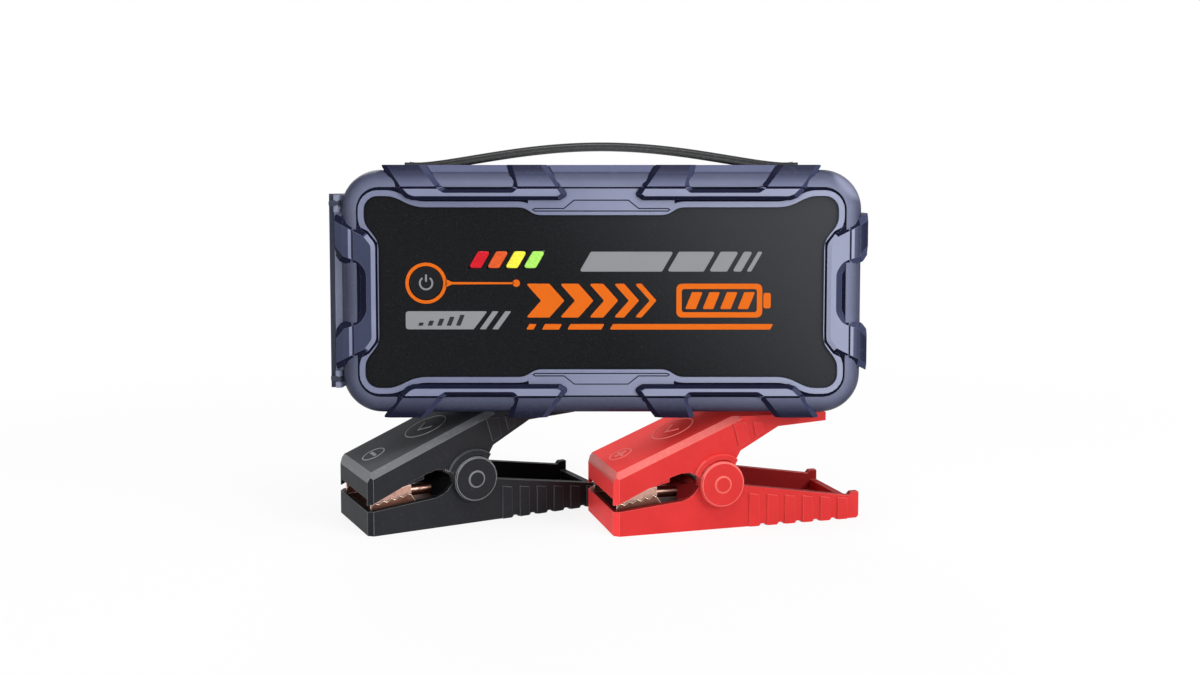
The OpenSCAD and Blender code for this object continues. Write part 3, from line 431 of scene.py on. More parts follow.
@dataclass(frozen=True)
class LampGlass:
    """Tinted lamp window that is lit from behind, with a frosted mottle."""

    name: str
    colour: Colour
    glow: float

    def paint(self) -> bpy.types.Material:
        """Builds the material."""
        paint = Paint(self.name)
        frost = paint.noise(1.2, 3.0)
        dim = tuple(part * 0.78 for part in self.colour[:3]) + (1.0,)
        lit = paint.mix(frost.ramp(0.35, 0.65), self.colour, dim)
        fixed = {
            "Emission Strength": self.glow,
            "Coat Weight": 0.15,
            "Coat Roughness": 0.1,
            "Specular IOR Level": 0.2,
        }
        return paint.finish(fixed, base_color=lit, emission_color=lit, roughness=frost * 0.1 + 0.22)


@dataclass(frozen=True)
class PrintedInk:
    """Screen-printed ink on the grained panel: the grain shows through, with small pinholes."""

    name: str
    colour: Colour
    under: Colour

    def paint(self) -> bpy.types.Material:
        """Builds the material."""
        paint = Paint(self.name)
        grain = paint.noise(2.2, 4.0, 0.7)
        holes = grain.ramp(0.68, 0.78)
        return paint.finish(
            {"Specular IOR Level": 0.22},
            base_color=paint.mix(holes * 0.45, self.colour, self.under),
            roughness=grain * 0.15 + 0.42,
            normal=paint.bump(grain, 0.02, 0.4),
        )


@dataclass(frozen=True)
class CellFoil:
    """Wrinkled foil of a pouch cell, or the coat of a board with a faint pattern."""

    name: str
    colour: Colour
    shade: Colour
    metallic: float = 0.0
    per_mm: float = 0.4

    def paint(self) -> bpy.types.Material:
        """Builds the material."""
        paint = Paint(self.name)
        crease = paint.noise(self.per_mm, 4.0, 0.6)
        return paint.finish(
            {"Metallic": self.metallic},
            base_color=paint.mix(crease.ramp(0.4, 0.65), self.colour, self.shade),
            roughness=crease * 0.3 + 0.35,
            normal=paint.bump(crease, 0.15, 0.5),
        )


class Finishes:
    """All the finishes of the object, painted once and handed out by name."""

    def __init__(self) -> None:
        """Paints every finish."""
        recipes = [
            *self._mouldings(),
            GrainedPanel("panel_black", ink(15, 16, 19), ink(62, 64, 67), ink(70, 72, 76)),
            StrapRubber("strap_rubber", ink(44, 45, 46), ink(84, 86, 88)),
            # Painted highlight along the strap's rounding.
            StrapRubber("strap_edge", ink(70, 71, 72), ink(110, 112, 114)),
            # Painted highlight along the strap's side grooves.
            StrapRubber("strap_line", ink(126, 126, 124), ink(150, 150, 148)),
            StrapRubber("seal_rubber", ink(24, 25, 26), ink(52, 53, 55)),
            Metal("copper_metal", ink(204, 160, 144), ink(140, 100, 86), 0.3),
            # Painted shade: a darker copy of the copper for the lower jaw's cheeks.
            Metal("copper_worn", ink(132, 92, 78), ink(84, 56, 46), 0.36),
            # Painted highlight along the jaws' rounding.
            Metal("copper_pale", ink(244, 214, 198), ink(220, 180, 160), 0.3),
            Metal("copper_shade", ink(92, 58, 46), ink(60, 38, 32), 0.5),
            Metal("steel_metal", ink(188, 190, 194), ink(120, 122, 126), 0.3),
            LampGlass("lamp_red_glass", ink(208, 8, 32), 0.18),
            LampGlass("lamp_orange_glass", ink(223, 89, 33), 0.18),
            LampGlass("lamp_yellow_glass", ink(246, 235, 66), 0.25),
            LampGlass("lamp_green_glass", ink(172, 238, 100), 0.22),
            LampGlass("chip_glass", ink(240, 230, 190), 0.0),
            PrintedInk("ink_orange", ink(229, 106, 6), ink(120, 62, 14)),
            PrintedInk("ink_grey", ink(143, 145, 148), ink(80, 81, 84)),
            PrintedInk("ink_dark", ink(38, 39, 42), ink(80, 81, 84)),
            PrintedInk("ink_pale", ink(138, 139, 143), ink(80, 81, 84)),
            CellFoil("board_green", ink(24, 84, 52), ink(18, 66, 40), per_mm=1.0),
            CellFoil("cell_silver", ink(176, 180, 186), ink(140, 144, 150), metallic=0.7),
            CellFoil("foam_grey", ink(60, 60, 62), ink(44, 44, 46), per_mm=1.6),
        ]
        self._made = {recipe.name: recipe.paint() for recipe in recipes}

    @staticmethod
    def _mouldings() -> list[MouldedPlastic]:
        """Lists the moulded plastics.

        Returns:
            One recipe for each row: its name, its colour, its cloudiness and its worn colour as seen on a
            screen, then its roughness, wear, specular level and index of refraction.
        """
        table = [
            ("case_plastic", (126, 131, 157), (131, 136, 162), (160, 164, 188), 0.4, 0.05, 0.2, 1.3),
            # Painted highlight along the case's rounding, with some wear.
            ("case_edge", (162, 167, 192), (168, 173, 198), (210, 212, 228), 0.36, 0.2, 0.3, 1.35),
            # Painted shade on the rail's upward sloping strip.
            ("rail_strip", (88, 93, 122), (93, 98, 127), (140, 144, 168), 0.4, 0.05, 0.15, 1.3),
            ("lip_plastic", (118, 123, 151), (124, 129, 157), (170, 173, 198), 0.36, 0.05, 0.3, 1.5),
            # Painted shade in the groove.
            ("groove_plastic", (22, 25, 46), (26, 29, 50), (60, 64, 92), 0.5, 0.12, 0.1, 1.3),
            ("guard_plastic", (112, 117, 145), (117, 122, 150), (150, 154, 180), 0.4, 0.05, 0.2, 1.3),
            ("guard_shaded", (64, 69, 94), (68, 73, 98), (110, 114, 138), 0.42, 0.05, 0.15, 1.3),
            # Painted highlight along the guards' rounding, with some wear.
            ("guard_edge", (164, 169, 194), (170, 175, 200), (214, 216, 232), 0.34, 0.2, 0.3, 1.35),
            # Painted light on the guards' pale bands and strips.
            ("guard_light", (130, 135, 163), (136, 141, 169), (180, 183, 206), 0.36, 0.05, 0.3, 1.5),
            # Painted shade in the guards' bands and creases.
            ("guard_dark", (20, 22, 44), (24, 26, 48), (56, 60, 88), 0.45, 0.05, 0.1, 1.3),
            # A lighter painted shade for the bands that face right.
            ("guard_side", (56, 60, 88), (61, 65, 93), (100, 104, 132), 0.42, 0.05, 0.12, 1.3),
            # Painted light: paler than the case to make up for the shade the bezel sits in.
            ("bezel_plastic", (138, 144, 168), (143, 149, 173), (170, 174, 194), 0.4, 0.05, 0.2, 1.3),
            ("door_plastic", (64, 68, 84), (69, 73, 89), (120, 124, 140), 0.45, 0.06, 0.15, 1.3),
            # Painted highlight along the door's rounding, with some wear.
            ("door_edge", (98, 103, 120), (104, 109, 126), (140, 144, 158), 0.4, 0.2, 0.2, 1.3),
            ("black_plastic", (37, 38, 42), (41, 42, 46), (80, 82, 88), 0.44, 0.12, 0.15, 1.5),
            # Painted highlight on the black clamp's slanted edge strips, with some wear.
            ("black_edge", (108, 110, 114), (114, 116, 120), (150, 152, 156), 0.42, 0.4, 0.15, 1.5),
            # Painted light: a paler top for the black clamp.
            ("black_top", (88, 89, 92), (92, 93, 96), (116, 118, 122), 0.55, 0.12, 0.05, 1.08),
            # Painted highlight along the black clamp's rounding and pivot rings.
            ("black_line", (138, 140, 143), (128, 130, 133), (170, 172, 175), 0.5, 0.12, 0.1, 1.5),
            # Painted shade in the black clamp's hollow.
            ("black_inside", (20, 20, 22), (24, 24, 26), (50, 51, 54), 0.55, 0.12, 0.05, 1.5),
            ("black_nose", (37, 38, 42), (41, 42, 46), (80, 82, 88), 0.5, 0.12, 0.08, 1.5),
            # Painted highlight: pale raised marks on the black clamp.
            ("black_mark", (180, 182, 185), (170, 172, 175), (200, 202, 205), 0.5, 0.12, 0.05, 1.08),
            ("red_plastic", (222, 52, 52), (215, 48, 48), (236, 104, 98), 0.4, 0.06, 0.2, 1.5),
            # Painted highlight on the red clamp's slanted edge strips, with some wear.
            ("red_edge", (240, 112, 106), (236, 104, 98), (250, 160, 154), 0.38, 0.4, 0.2, 1.5),
            # Painted light: a paler, glowing top for the red clamp.
            ("red_top", (230, 58, 56), (224, 54, 52), (236, 96, 90), 0.5, 0.05, 0.05, 1.08),
            # Painted highlight along the red clamp's rounding and pivot rings.
            ("red_line", (246, 128, 120), (240, 118, 110), (250, 150, 142), 0.5, 0.12, 0.1, 1.5),
            # Painted shade in the red clamp's hollow.
            ("red_inside", (150, 34, 35), (144, 32, 33), (176, 60, 58), 0.55, 0.12, 0.05, 1.5),
            # Painted light: a brighter, glowing front for the red clamp's nose.
            ("red_nose", (250, 74, 74), (246, 70, 70), (250, 110, 104), 0.45, 0.05, 0.1, 1.2),
            # Painted highlight: pale, glowing raised marks on the red clamp.
            ("red_mark", (252, 140, 134), (248, 132, 126), (255, 170, 164), 0.5, 0.12, 0.05, 1.08),
            ("button_plastic", (17, 18, 21), (21, 22, 25), (60, 62, 66), 0.38, 0.12, 0.15, 1.5),
            ("port_plastic", (26, 27, 30), (34, 35, 38), (90, 92, 96), 0.45, 0.12, 0.5, 1.5),
            ("socket_blue", (34, 62, 132), (40, 70, 142), (110, 130, 180), 0.4, 0.12, 0.5, 1.5),
        ]
        special = {
            # rim: painted shade towards the pack's edge and lower left, with a painted sheen on its upper right
            # corner; right: painted light towards the pack's right.
            "case_plastic": {"rim": ink(34, 38, 64)},
            "case_edge": {"rim": ink(70, 74, 104)},
            "lip_plastic": {"right": ink(156, 161, 187)},
            "guard_plastic": {"rim": ink(30, 33, 58)},
            "guard_edge": {"rim": ink(80, 84, 114)},
            "guard_light": {"right": ink(152, 157, 183)},
            # Painted light: the red top and nose glow.
            "red_top": {"metallic": 0.25, "glow": 0.2},
            "red_nose": {"metallic": 0.25, "glow": 0.12},
            # Painted light: the red marks glow.
            "red_mark": {"glow": 0.25},
            "button_plastic": {"grain": Grain.POLISHED},
        }
        return [
            MouldedPlastic(name, ink(*colour), ink(*cloud), ink(*worn), *look, **special.get(name, {}))
            for name, colour, cloud, worn, *look in table
        ]

    def __call__(self, *names: str) -> list[bpy.types.Material]:
        """Gives finishes by their names."""
        return [self._made[name] for name in names]


# ---------- modelling toolkit ----------


def circle(middle: Point, radius: float, corners: int) -> list[Point]:
    """Gives the corners of a circle, anticlockwise."""
    turns = [2 * math.pi * k / corners for k in range(corners)]
    return [(middle[0] + radius * math.cos(a), middle[1] + radius * math.sin(a)) for a in turns]


def rounded(points: Sequence[Point], radius: Union[float, Sequence[float]], steps: int = 5) -> list[Point]:
    """Rounds the corners of a closed outline.

    Args:
        points: The outline's corners, anticlockwise.
        radius: One radius for all corners, or one for each.
        steps: How many edges stand for a corner.

    Returns:
        The outline with an arc for every corner that has a radius.
    """
    count = len(points)
    radii = [radius] * count if isinstance(radius, (int, float)) else list(radius)
    result: list[Point] = []
    for i, size in enumerate(radii):
        corner = Vector(points[i])
        back = Vector(points[i - 1]) - corner
        ahead = Vector(points[(i + 1) % count]) - corner
        bend = math.pi - back.angle(ahead)
        if size <= 0 or bend < 0.02:
            result.append((corner.x, corner.y))
            continue
        reach = min(size * math.tan(bend / 2), back.length * 0.48, ahead.length * 0.48)
        start = corner + back.normalized() * reach
        end = corner + ahead.normalized() * reach
        for k in range(steps + 1):
            s = k / steps
            arc = start * (1 - s) ** 2 + corner * 2 * s * (1 - s) + end * s**2
            result.append((arc.x, arc.y))
    return result


def moved_in(points: Sequence[Point], width: Callable[[Vector, Vector], float]) -> list[Point]:
    """Moves each edge of a closed outline inwards by its own width.

    Args:
        points: The outline, anticlockwise.
        width: Gives an edge's width from its middle and its direction.

    Returns:
        The corners of the smaller outline, one for each given corner.
    """
    count = len(points)
    lines = []
    for i in range(count):
        first, second = Vector(points[i]), Vector(points[(i + 1) % count])
        along = (second - first).normalized()
        inward = Vector((-along.y, along.x))
        lines.append((first + inward * width((first + second) / 2, along), along))
    result: list[Point] = []
    for i in range(count):
        (a, u), (b, v) = lines[i - 1], lines[i]
        cross = u.x * v.y - u.y * v.x
        if abs(cross) < 1e-4:
            spot = b
        else:
            gap = b - a
            spot = a + u * ((gap.x * v.y - gap.y * v.x) / cross)
        result.append((spot.x, spot.y))
    return result


class Workpiece:
    """A mesh object that is shaped with Blender's operators, then placed, dressed and handed over."""

    def __init__(self, thing: bpy.types.Object, name: str) -> None:
        """Takes over an object.

        Args:
            thing: The object to shape.
            name: Its final name.
        """
        self.thing = thing
        thing.name = name
        thing.data.name = name

    @staticmethod
    def leave() -> None:
        """Returns to object mode."""
        if bpy.context.object and bpy.context.object.mode != "OBJECT":
            bpy.ops.object.mode_set(mode="OBJECT")

    @classmethod
    def clear(cls) -> None:
        """Returns to object mode and leaves every object unselected."""
        cls.leave()
        bpy.ops.object.select_all(action="DESELECT")

    @classmethod
    def primitive(cls, name: str, kind: str, **options: object) -> "Workpiece":
        """Starts from one of Blender's primitives.

        Args:
            name: The piece's name.
            kind: The primitive, such as cube or cylinder.
            options: The primitive's own options.

        Returns:
            The new workpiece, alone selected.
        """
        cls.clear()
        getattr(bpy.ops.mesh, f"primitive_{kind}_add")(**options)
        return cls(bpy.context.object, name)

    @classmethod
    def outline(cls, name: str, points: Sequence[Point], height: float = 0.0) -> "Workpiece":
        """Starts from a filled ring whose corners are moved to an outline.

        Args:
            name: The piece's name.
            points: The outline's corners, anticlockwise.
            height: Height of the flat face.

        Returns:
            The flat workpiece.
        """
        piece = cls.primitive(name, "circle", vertices=len(points), radius=1.0, fill_type="NGON")
        for vertex, (x, y) in zip(piece.thing.data.vertices, points):
            vertex.co = (x, y, height)
        piece.thing.data.update()
        return piece

    @classmethod
    def plate(cls, name: str, points: Sequence[Point], low: float, high: float) -> "Workpiece":
        """Makes a plate of an outline between two heights.

        Args:
            name: The piece's name.
            points: The outline's corners, anticlockwise.
            low: Height of the underside.
            high: Height of the top.

        Returns:
            The closed plate.
        """
        piece = cls.outline(name, points, low)
        piece.edit()
        push_up(high - low)
        piece.outward()
        return piece

    @classmethod
    def ring(
        cls, name: str, outer: Sequence[Point], inner: Sequence[Point], low: float, high: float
    ) -> "Workpiece":
        """Makes a plate with a hole by bridging two outlines of equally many corners.

        Args:
            name: The piece's name.
            outer: The outer outline, anticlockwise.
            inner: The hole's outline, anticlockwise.
            low: Height of the underside.
            high: Height of the top.

        Returns:
            The closed ring.
        """
        piece = cls.outline(name, outer, low)
        piece.join([cls.outline(name, inner, low)])
        piece.edit()
        bpy.ops.mesh.delete(type="ONLY_FACE")
        bpy.ops.mesh.select_all(action="SELECT")
        bpy.ops.mesh.bridge_edge_loops()
        bpy.ops.mesh.select_all(action="SELECT")
        push_up(high - low)
        piece.outward()
        return piece

    @classmethod
    def copy_of(cls, node: str, place: Optional["Place"] = None) -> "Workpiece":
        """Copies a CAD node and merges its loose triangles to clean faces.

        Args:
            node: The CAD node.
            place: The workplane to bring it to; without one it stays in the frame, in metres.

        Returns:
            The copy, with no material.
        """
        cls.clear()
        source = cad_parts[node]
        copy = bpy.data.objects.new(f"{node}_finished", source.data.copy())
        bpy.context.scene.collection.objects.link(copy)
        copy.data.materials.clear()
        copy.select_set(True)
        bpy.context.view_layer.objects.active = copy
        piece = cls(copy, f"{node}_finished")
        piece.edit()
        bpy.ops.mesh.remove_doubles(threshold=2e-6)
        bpy.ops.mesh.dissolve_limited(angle_limit=math.radians(1.5))
        piece.leave()
        if copy.data.has_custom_normals:
            bpy.ops.mesh.customdata_custom_splitnormals_clear()
        if place:
            piece.shift(place.matrix.inverted())
        return piece

    def select(self) -> None:
        """Makes this piece the only selected and active object."""
        self.clear()
        self.thing.select_set(True)
        bpy.context.view_layer.objects.active = self.thing

    def edit(self) -> None:
        """Enters edit mode with all of this piece selected."""
        self.select()
        bpy.ops.object.mode_set(mode="EDIT")
        bpy.ops.mesh.select_all(action="SELECT")

    def pick(self, kind: str, test: Callable[[Element], bool]) -> None:
        """Selects only the edges or faces that pass a test; works in edit mode.

        Args:
            kind: EDGE or FACE.
            test: Takes an element and says whether it is wanted.
        """
        bpy.ops.mesh.select_mode(type=kind)
        bpy.ops.mesh.select_all(action="DESELECT")
        shape = bmesh.from_edit_mesh(self.thing.data)
        for element in {"EDGE": shape.edges, "FACE": shape.faces}[kind]:
            if test(element):
                element.select_set(True)
        shape.select_flush_mode()
        bmesh.update_edit_mesh(self.thing.data)

    def outward(self) -> None:
        """Merges doubles and turns all faces outwards."""
        self.edit()
        bpy.ops.mesh.remove_doubles(threshold=1e-4 if self.thing.dimensions.length > 2 else 1e-7)
        bpy.ops.mesh.normals_make_consistent(inside=False)
        self.leave()

    def split(self, spot: Sequence[float], normal: Sequence[float]) -> None:
        """Splits every face that crosses a plane, and keeps both sides.

        Args:
            spot: A point on the plane.
            normal: The plane's normal.
        """
        self.edit()
        bpy.ops.mesh.bisect(plane_co=spot, plane_no=normal)
        self.leave()

    def merge_close(self, reach: float) -> None:
        """Merges corners that nearly meet and joins the flat faces of each finish again.

        Args:
            reach: The distance at which corners merge, in the mesh's unit.
        """
        self.edit()
        bpy.ops.mesh.remove_doubles(threshold=reach)
        bpy.ops.mesh.dissolve_degenerate(threshold=reach)
        bpy.ops.mesh.select_all(action="SELECT")
        bpy.ops.mesh.dissolve_limited(angle_limit=math.radians(1.0), delimit={"MATERIAL"})
        self.leave()

    def modify(self, kind: str, **settings: object) -> None:
        """Adds a modifier and applies it.

        Args:
            kind: The modifier's type.
            settings: Its settings.
        """
        self.select()
        modifier = self.thing.modifiers.new("step", kind)
        for name, value in settings.items():
            setattr(modifier, name, value)
        bpy.ops.object.modifier_apply(modifier=modifier.name)

    def sort_faces(self, choose: Callable[[Vector, Vector], int]) -> None:
        """Gives each face a finish slot from its middle and normal.

        Args:
            choose: Takes a face's middle and normal and gives its slot.
        """
        for face in self.thing.data.polygons:
            face.material_index = choose(face.center, face.normal)

    def round_edges(
        self,
        width: float,
        segments: int = 2,
        angle: float = 30.0,
        slot: int = -1,
        sharp: Optional[Callable[[Vector], bool]] = None,
    ) -> None:
        """Rounds all edges that bend more than an angle.

        Args:
            width: Width of the rounding, in the mesh's unit.
            segments: Steps across the rounding.
            angle: Least bend in degrees.
            slot: Finish slot for the rounding's faces, or -1 to keep their neighbours'.
            sharp: Takes an edge's middle and says whether that edge stays sharp.
        """
        if sharp:
            self._weigh(math.radians(angle), sharp)
        self.modify(
            "BEVEL",
            width=width,
            segments=segments,
            limit_method="WEIGHT" if sharp else "ANGLE",
            angle_limit=math.radians(angle),
            miter_outer="MITER_ARC",
            use_clamp_overlap=True,
            material=slot,
        )

    def _weigh(self, angle: float, sharp: Callable[[Vector], bool]) -> None:
        """Marks the edges that are to be rounded with a weight of 1."""
        shape = bmesh.new()
        shape.from_mesh(self.thing.data)
        weight = shape.edges.layers.float.new("bevel_weight_edge")
        for edge in shape.edges:
            middle = (edge.verts[0].co + edge.verts[1].co) / 2
            edge[weight] = float(edge.calc_face_angle(0.0) > angle and not sharp(middle))
        shape.to_mesh(self.thing.data)
        shape.free()

    def recolour(self, choose: Callable[[Vector, Vector, int], int]) -> None:
        """Gives each face another finish slot from its middle, its normal and the slot it has."""
        for face in self.thing.data.polygons:
            face.material_index = choose(face.center, face.normal, face.material_index)

    def cut(self, tool: "Workpiece", operation: str = "DIFFERENCE") -> None:
        """Cuts this piece with another, which is used up.

        Args:
            tool: The cutting piece.
            operation: DIFFERENCE, UNION or INTERSECT.
        """
        self.modify("BOOLEAN", object=tool.thing, operation=operation, solver="EXACT")
        bpy.data.objects.remove(tool.thing)

    def join(self, others: Iterable["Workpiece"]) -> None:
        """Joins other workpieces into this one."""
        self.select()
        for other in others:
            other.thing.select_set(True)
        bpy.context.view_layer.objects.active = self.thing
        bpy.ops.object.join()

    def double(self, name: str, change: Matrix) -> "Workpiece":
        """Copies this piece with its own mesh and changes the copy's place.

        Args:
            name: The copy's name.
            change: What moves the copy's mesh.

        Returns:
            The copy.
        """
        copy = self.thing.copy()
        copy.data = self.thing.data.copy()
        bpy.context.scene.collection.objects.link(copy)
        other = Workpiece(copy, name)
        other.shift(change)
        return other

    def settle(self) -> None:
        """Puts the object's own place and turn into its mesh."""
        self.select()
        bpy.ops.object.transform_apply(location=True, rotation=True, scale=True)

    def shift(self, change: Matrix) -> None:
        """Moves the mesh itself and keeps the object at the origin."""
        self.thing.data.transform(change)
        if change.determinant() < 0:
            self.thing.data.flip_normals()
        self.thing.data.update()

    def smooth(self, angle: float = 40.0) -> None:
        """Shades the piece smoothly, with flat faces kept flat and bends over the angle kept sharp."""
        self.select()
        bpy.ops.object.shade_smooth_by_angle(angle=math.radians(angle))
        self.modify("WEIGHTED_NORMAL", keep_sharp=True, weight=80)

    def dress(self, *finishes: bpy.types.Material) -> None:
        """Puts finishes in the piece's slots, in their order; each face keeps its slot's number."""
        mesh = self.thing.data
        numbers = [face.material_index for face in mesh.polygons]
        mesh.materials.clear()
        for finish in finishes:
            mesh.materials.append(finish)
        last = len(finishes) - 1
        for face, number in zip(mesh.polygons, numbers):
            face.material_index = min(number, last)

    def complete(
        self,
        finishes: Sequence[bpy.types.Material],
        edge: float,
        slot: int = -1,
        angle: float = 30.0,
        sharp: Optional[Callable[[Vector], bool]] = None,
    ) -> None:
        """Dresses the piece, rounds its edges and smooths it.

        Args:
            finishes: Its finishes, in the order of its slots.
            edge: Width of the rounding, in the mesh's unit.
            slot: Finish slot for the rounding's faces, or -1 to keep their neighbours'.
            angle: Least bend of a rounded edge, in degrees.
            sharp: Takes an edge's middle and says whether that edge stays sharp.
        """
        self.dress(*finishes)
        if edge:
            self.round_edges(edge, 2, angle, slot, sharp)
        self.smooth()

    def hand_over(self, body: str, slot: str, *nodes: str) -> None:
        """Makes the piece ride, hides the nodes it stands for, and reports it.

        Args:
            body: The CAD body it moves with.
            slot: Not used.
            nodes: CAD nodes that it replaces.
        """
        self.clear()
        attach(self.thing, body)
        if nodes:
            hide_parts(*nodes)
        LOG.info("%s rides on %s, %d faces", self.thing.name, body, len(self.thing.data.polygons))


@dataclass(frozen=True)
class Place:
    """Carries a workplane in millimetres to its place in the frame."""

    matrix: Matrix

    @classmethod
    def pack(cls) -> "Place":
        """The pack's face plane, centred on its front panel, with z = 0 where the halves meet."""
        low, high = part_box("front_panel")
        middle = (low + high) / 2
        origin = Vector((middle.x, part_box("front_frame")[1].y, middle.z))
        turn = Matrix.Rotation(math.pi / 2, 4, "X")
        return cls(Matrix.Translation(origin) @ turn @ Matrix.Scale(MM, 4))

    @classmethod
    def clamp(cls, nose: Vector, yaw: float, width: float) -> "Place":
        """A clamp's own plane, from its near nose corner on the floor."""
        turn = Matrix.Rotation(math.radians(yaw), 4, "Z")
        middle = Matrix.Translation((0, width / 2, 0))
        return cls(Matrix.Translation(nose) @ turn @ Matrix.Scale(MM, 4) @ middle)

    def carry(self, piece: Workpiece) -> Workpiece:
        """Carries a finished workpiece to its place."""
        piece.shift(self.matrix)
        return piece


def push_up(height: float) -> None:
    """Extrudes the picked faces along z, in edit mode."""
    bpy.ops.mesh.extrude_region_move(TRANSFORM_OT_translate={"value": (0, 0, height)})


def dress_node(node: str, finish: bpy.types.Material) -> None:
    """Gives a CAD node that stays as it is a better finish."""
    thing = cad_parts[node]
    for slot in thing.material_slots:
        slot.material = finish
    LOG.info("%s keeps its shape, in %s", node, finish.name)


def fine_copy(
    node: str,
    edge: float,
    finishes: Sequence[bpy.types.Material],
    body: str,
    slot: str,
) -> None:
    """Replaces a CAD node by a copy with rounded edges.

    Args:
        node: The CAD node.
        edge: Width of the rounding in millimetres.
        finishes: Its finish, and one for the rounded edges where they differ.
        body: The body it rides on.
        slot: The record's material slot.
    """
    piece = Workpiece.copy_of(node)
    piece.complete(finishes, edge * MM, len(finishes) - 1)
    piece.hand_over(body, slot, node)


# ---------- the studio ----------


@dataclass
class Studio:
    """Camera, lamps, pale floor and white surroundings."""

    lens: float = 35.18
    stand: Vector = field(default_factory=lambda: Vector((0.0010, -0.5170, 0.142)))
    aim: Vector = field(default_factory=lambda: Vector((0, 0, 0.08)))
    pitch: float = 3.5
    shift_y: float = -0.0637
    sky: float = 0.24
    floor_light: float = 0.87

    def build(self) -> None:
        """Sets up everything that isn't the object."""
        self._camera()
        self._lamps()
        self._floor()
        self._surroundings()
        bpy.context.scene.view_settings.view_transform = "Standard"

    def _camera(self) -> None:
        """Makes the camera and puts it in charge."""
        data = bpy.data.cameras.new("camera")
        data.lens = self.lens
        data.sensor_width = 36.0
        data.shift_y = self.shift_y
        data.clip_start = 0.01
        data.dof.use_dof = False
        camera = bpy.data.objects.new("camera", data)
        camera.location = self.stand
        camera.rotation_euler = (math.radians(90 - self.pitch), 0, 0)
        bpy.context.scene.collection.objects.link(camera)
        bpy.context.scene.camera = camera

    def _lamp(self, name: str, place: Sequence[float], size: float, power: float) -> None:
        """Adds one square softbox that faces the object's middle."""
        data = bpy.data.lights.new(name, "AREA")
        data.shape = "SQUARE"
        data.size = size
        data.energy = power
        lamp = bpy.data.objects.new(name, data)
        lamp.location = place
        lamp.rotation_euler = (self.aim - Vector(place)).to_track_quat("-Z", "Y").to_euler()
        bpy.context.scene.collection.objects.link(lamp)

    def _lamps(self) -> None:
        """Places the softboxes."""
        self._lamp("top_softbox", (0.15, -0.25, 1.1), 0.8, 8.0)
        self._lamp("right_softbox", (0.95, -0.75, 0.55), 0.5, 7.4)
        self._lamp("left_softbox", (-0.9, -0.8, 0.4), 0.6, 2.8)
        self._lamp("rear_softbox", (-0.3, 1.0, 0.8), 0.7, 5.0)

    def _floor(self) -> None:
        """Makes the pale floor, which stays nearly white to the camera and keeps the shadow."""
        plane = Workpiece.primitive("floor", "plane", size=8.0, location=(0, 0, 0))
        plane.shift(plane.thing.matrix_world.copy())
        plane.thing.matrix_world = Matrix.Identity(4)
        paint = Paint("floor_paint")
        pale = paint.node("ShaderNodeBsdfDiffuse", feeds={"Color": ink(240, 240, 241)})
        glow = paint.node("ShaderNodeEmission", feeds={"Color": (1, 1, 1, 1), "Strength": 1.0})
        across, along, _ = paint.parts()
        reach = ((across * across + along * along) ** 0.5).ramp(180.0, 620.0, self.floor_light, 1.0)
        paint.output(paint.node("ShaderNodeMixShader", feeds={0: self._seen(paint) * reach, 1: pale, 2: glow}))
        plane.dress(paint.painted)

    def _seen(self, paint: Paint) -> Wire:
        """Gives 1 for what the camera, a mirror or clear glass sees directly."""
        path = paint.node("ShaderNodeLightPath").socket.node.outputs
        seen = [Wire(paint, path[name]) for name in ("Is Camera Ray", "Is Glossy Ray", "Is Transmission Ray")]
        return (seen[0] + seen[1] + seen[2]).ramp(0.0, 1.0)

    def _surroundings(self) -> None:
        """Makes the surroundings white where they are seen and softer where they only light."""
        world = bpy.context.scene.world = bpy.data.worlds.new("surroundings")
        paint = Paint("surroundings", world)
        strength = self._seen(paint) * (1.0 - self.sky) + self.sky
        light = paint.node("ShaderNodeBackground", feeds={"Color": (1, 1, 1, 1), "Strength": strength})
        paint.node("ShaderNodeOutputWorld", feeds={"Surface": light})


# ---------- the pack ----------


class CaseFinish(IntEnum):
    """The finish slots of a case half."""

    # GROOVE and RAIL hold painted shade, EDGE a painted highlight.
    PLAIN = 0
    GROOVE = 1
    LIP = 2
    EDGE = 3
    RAIL = 4


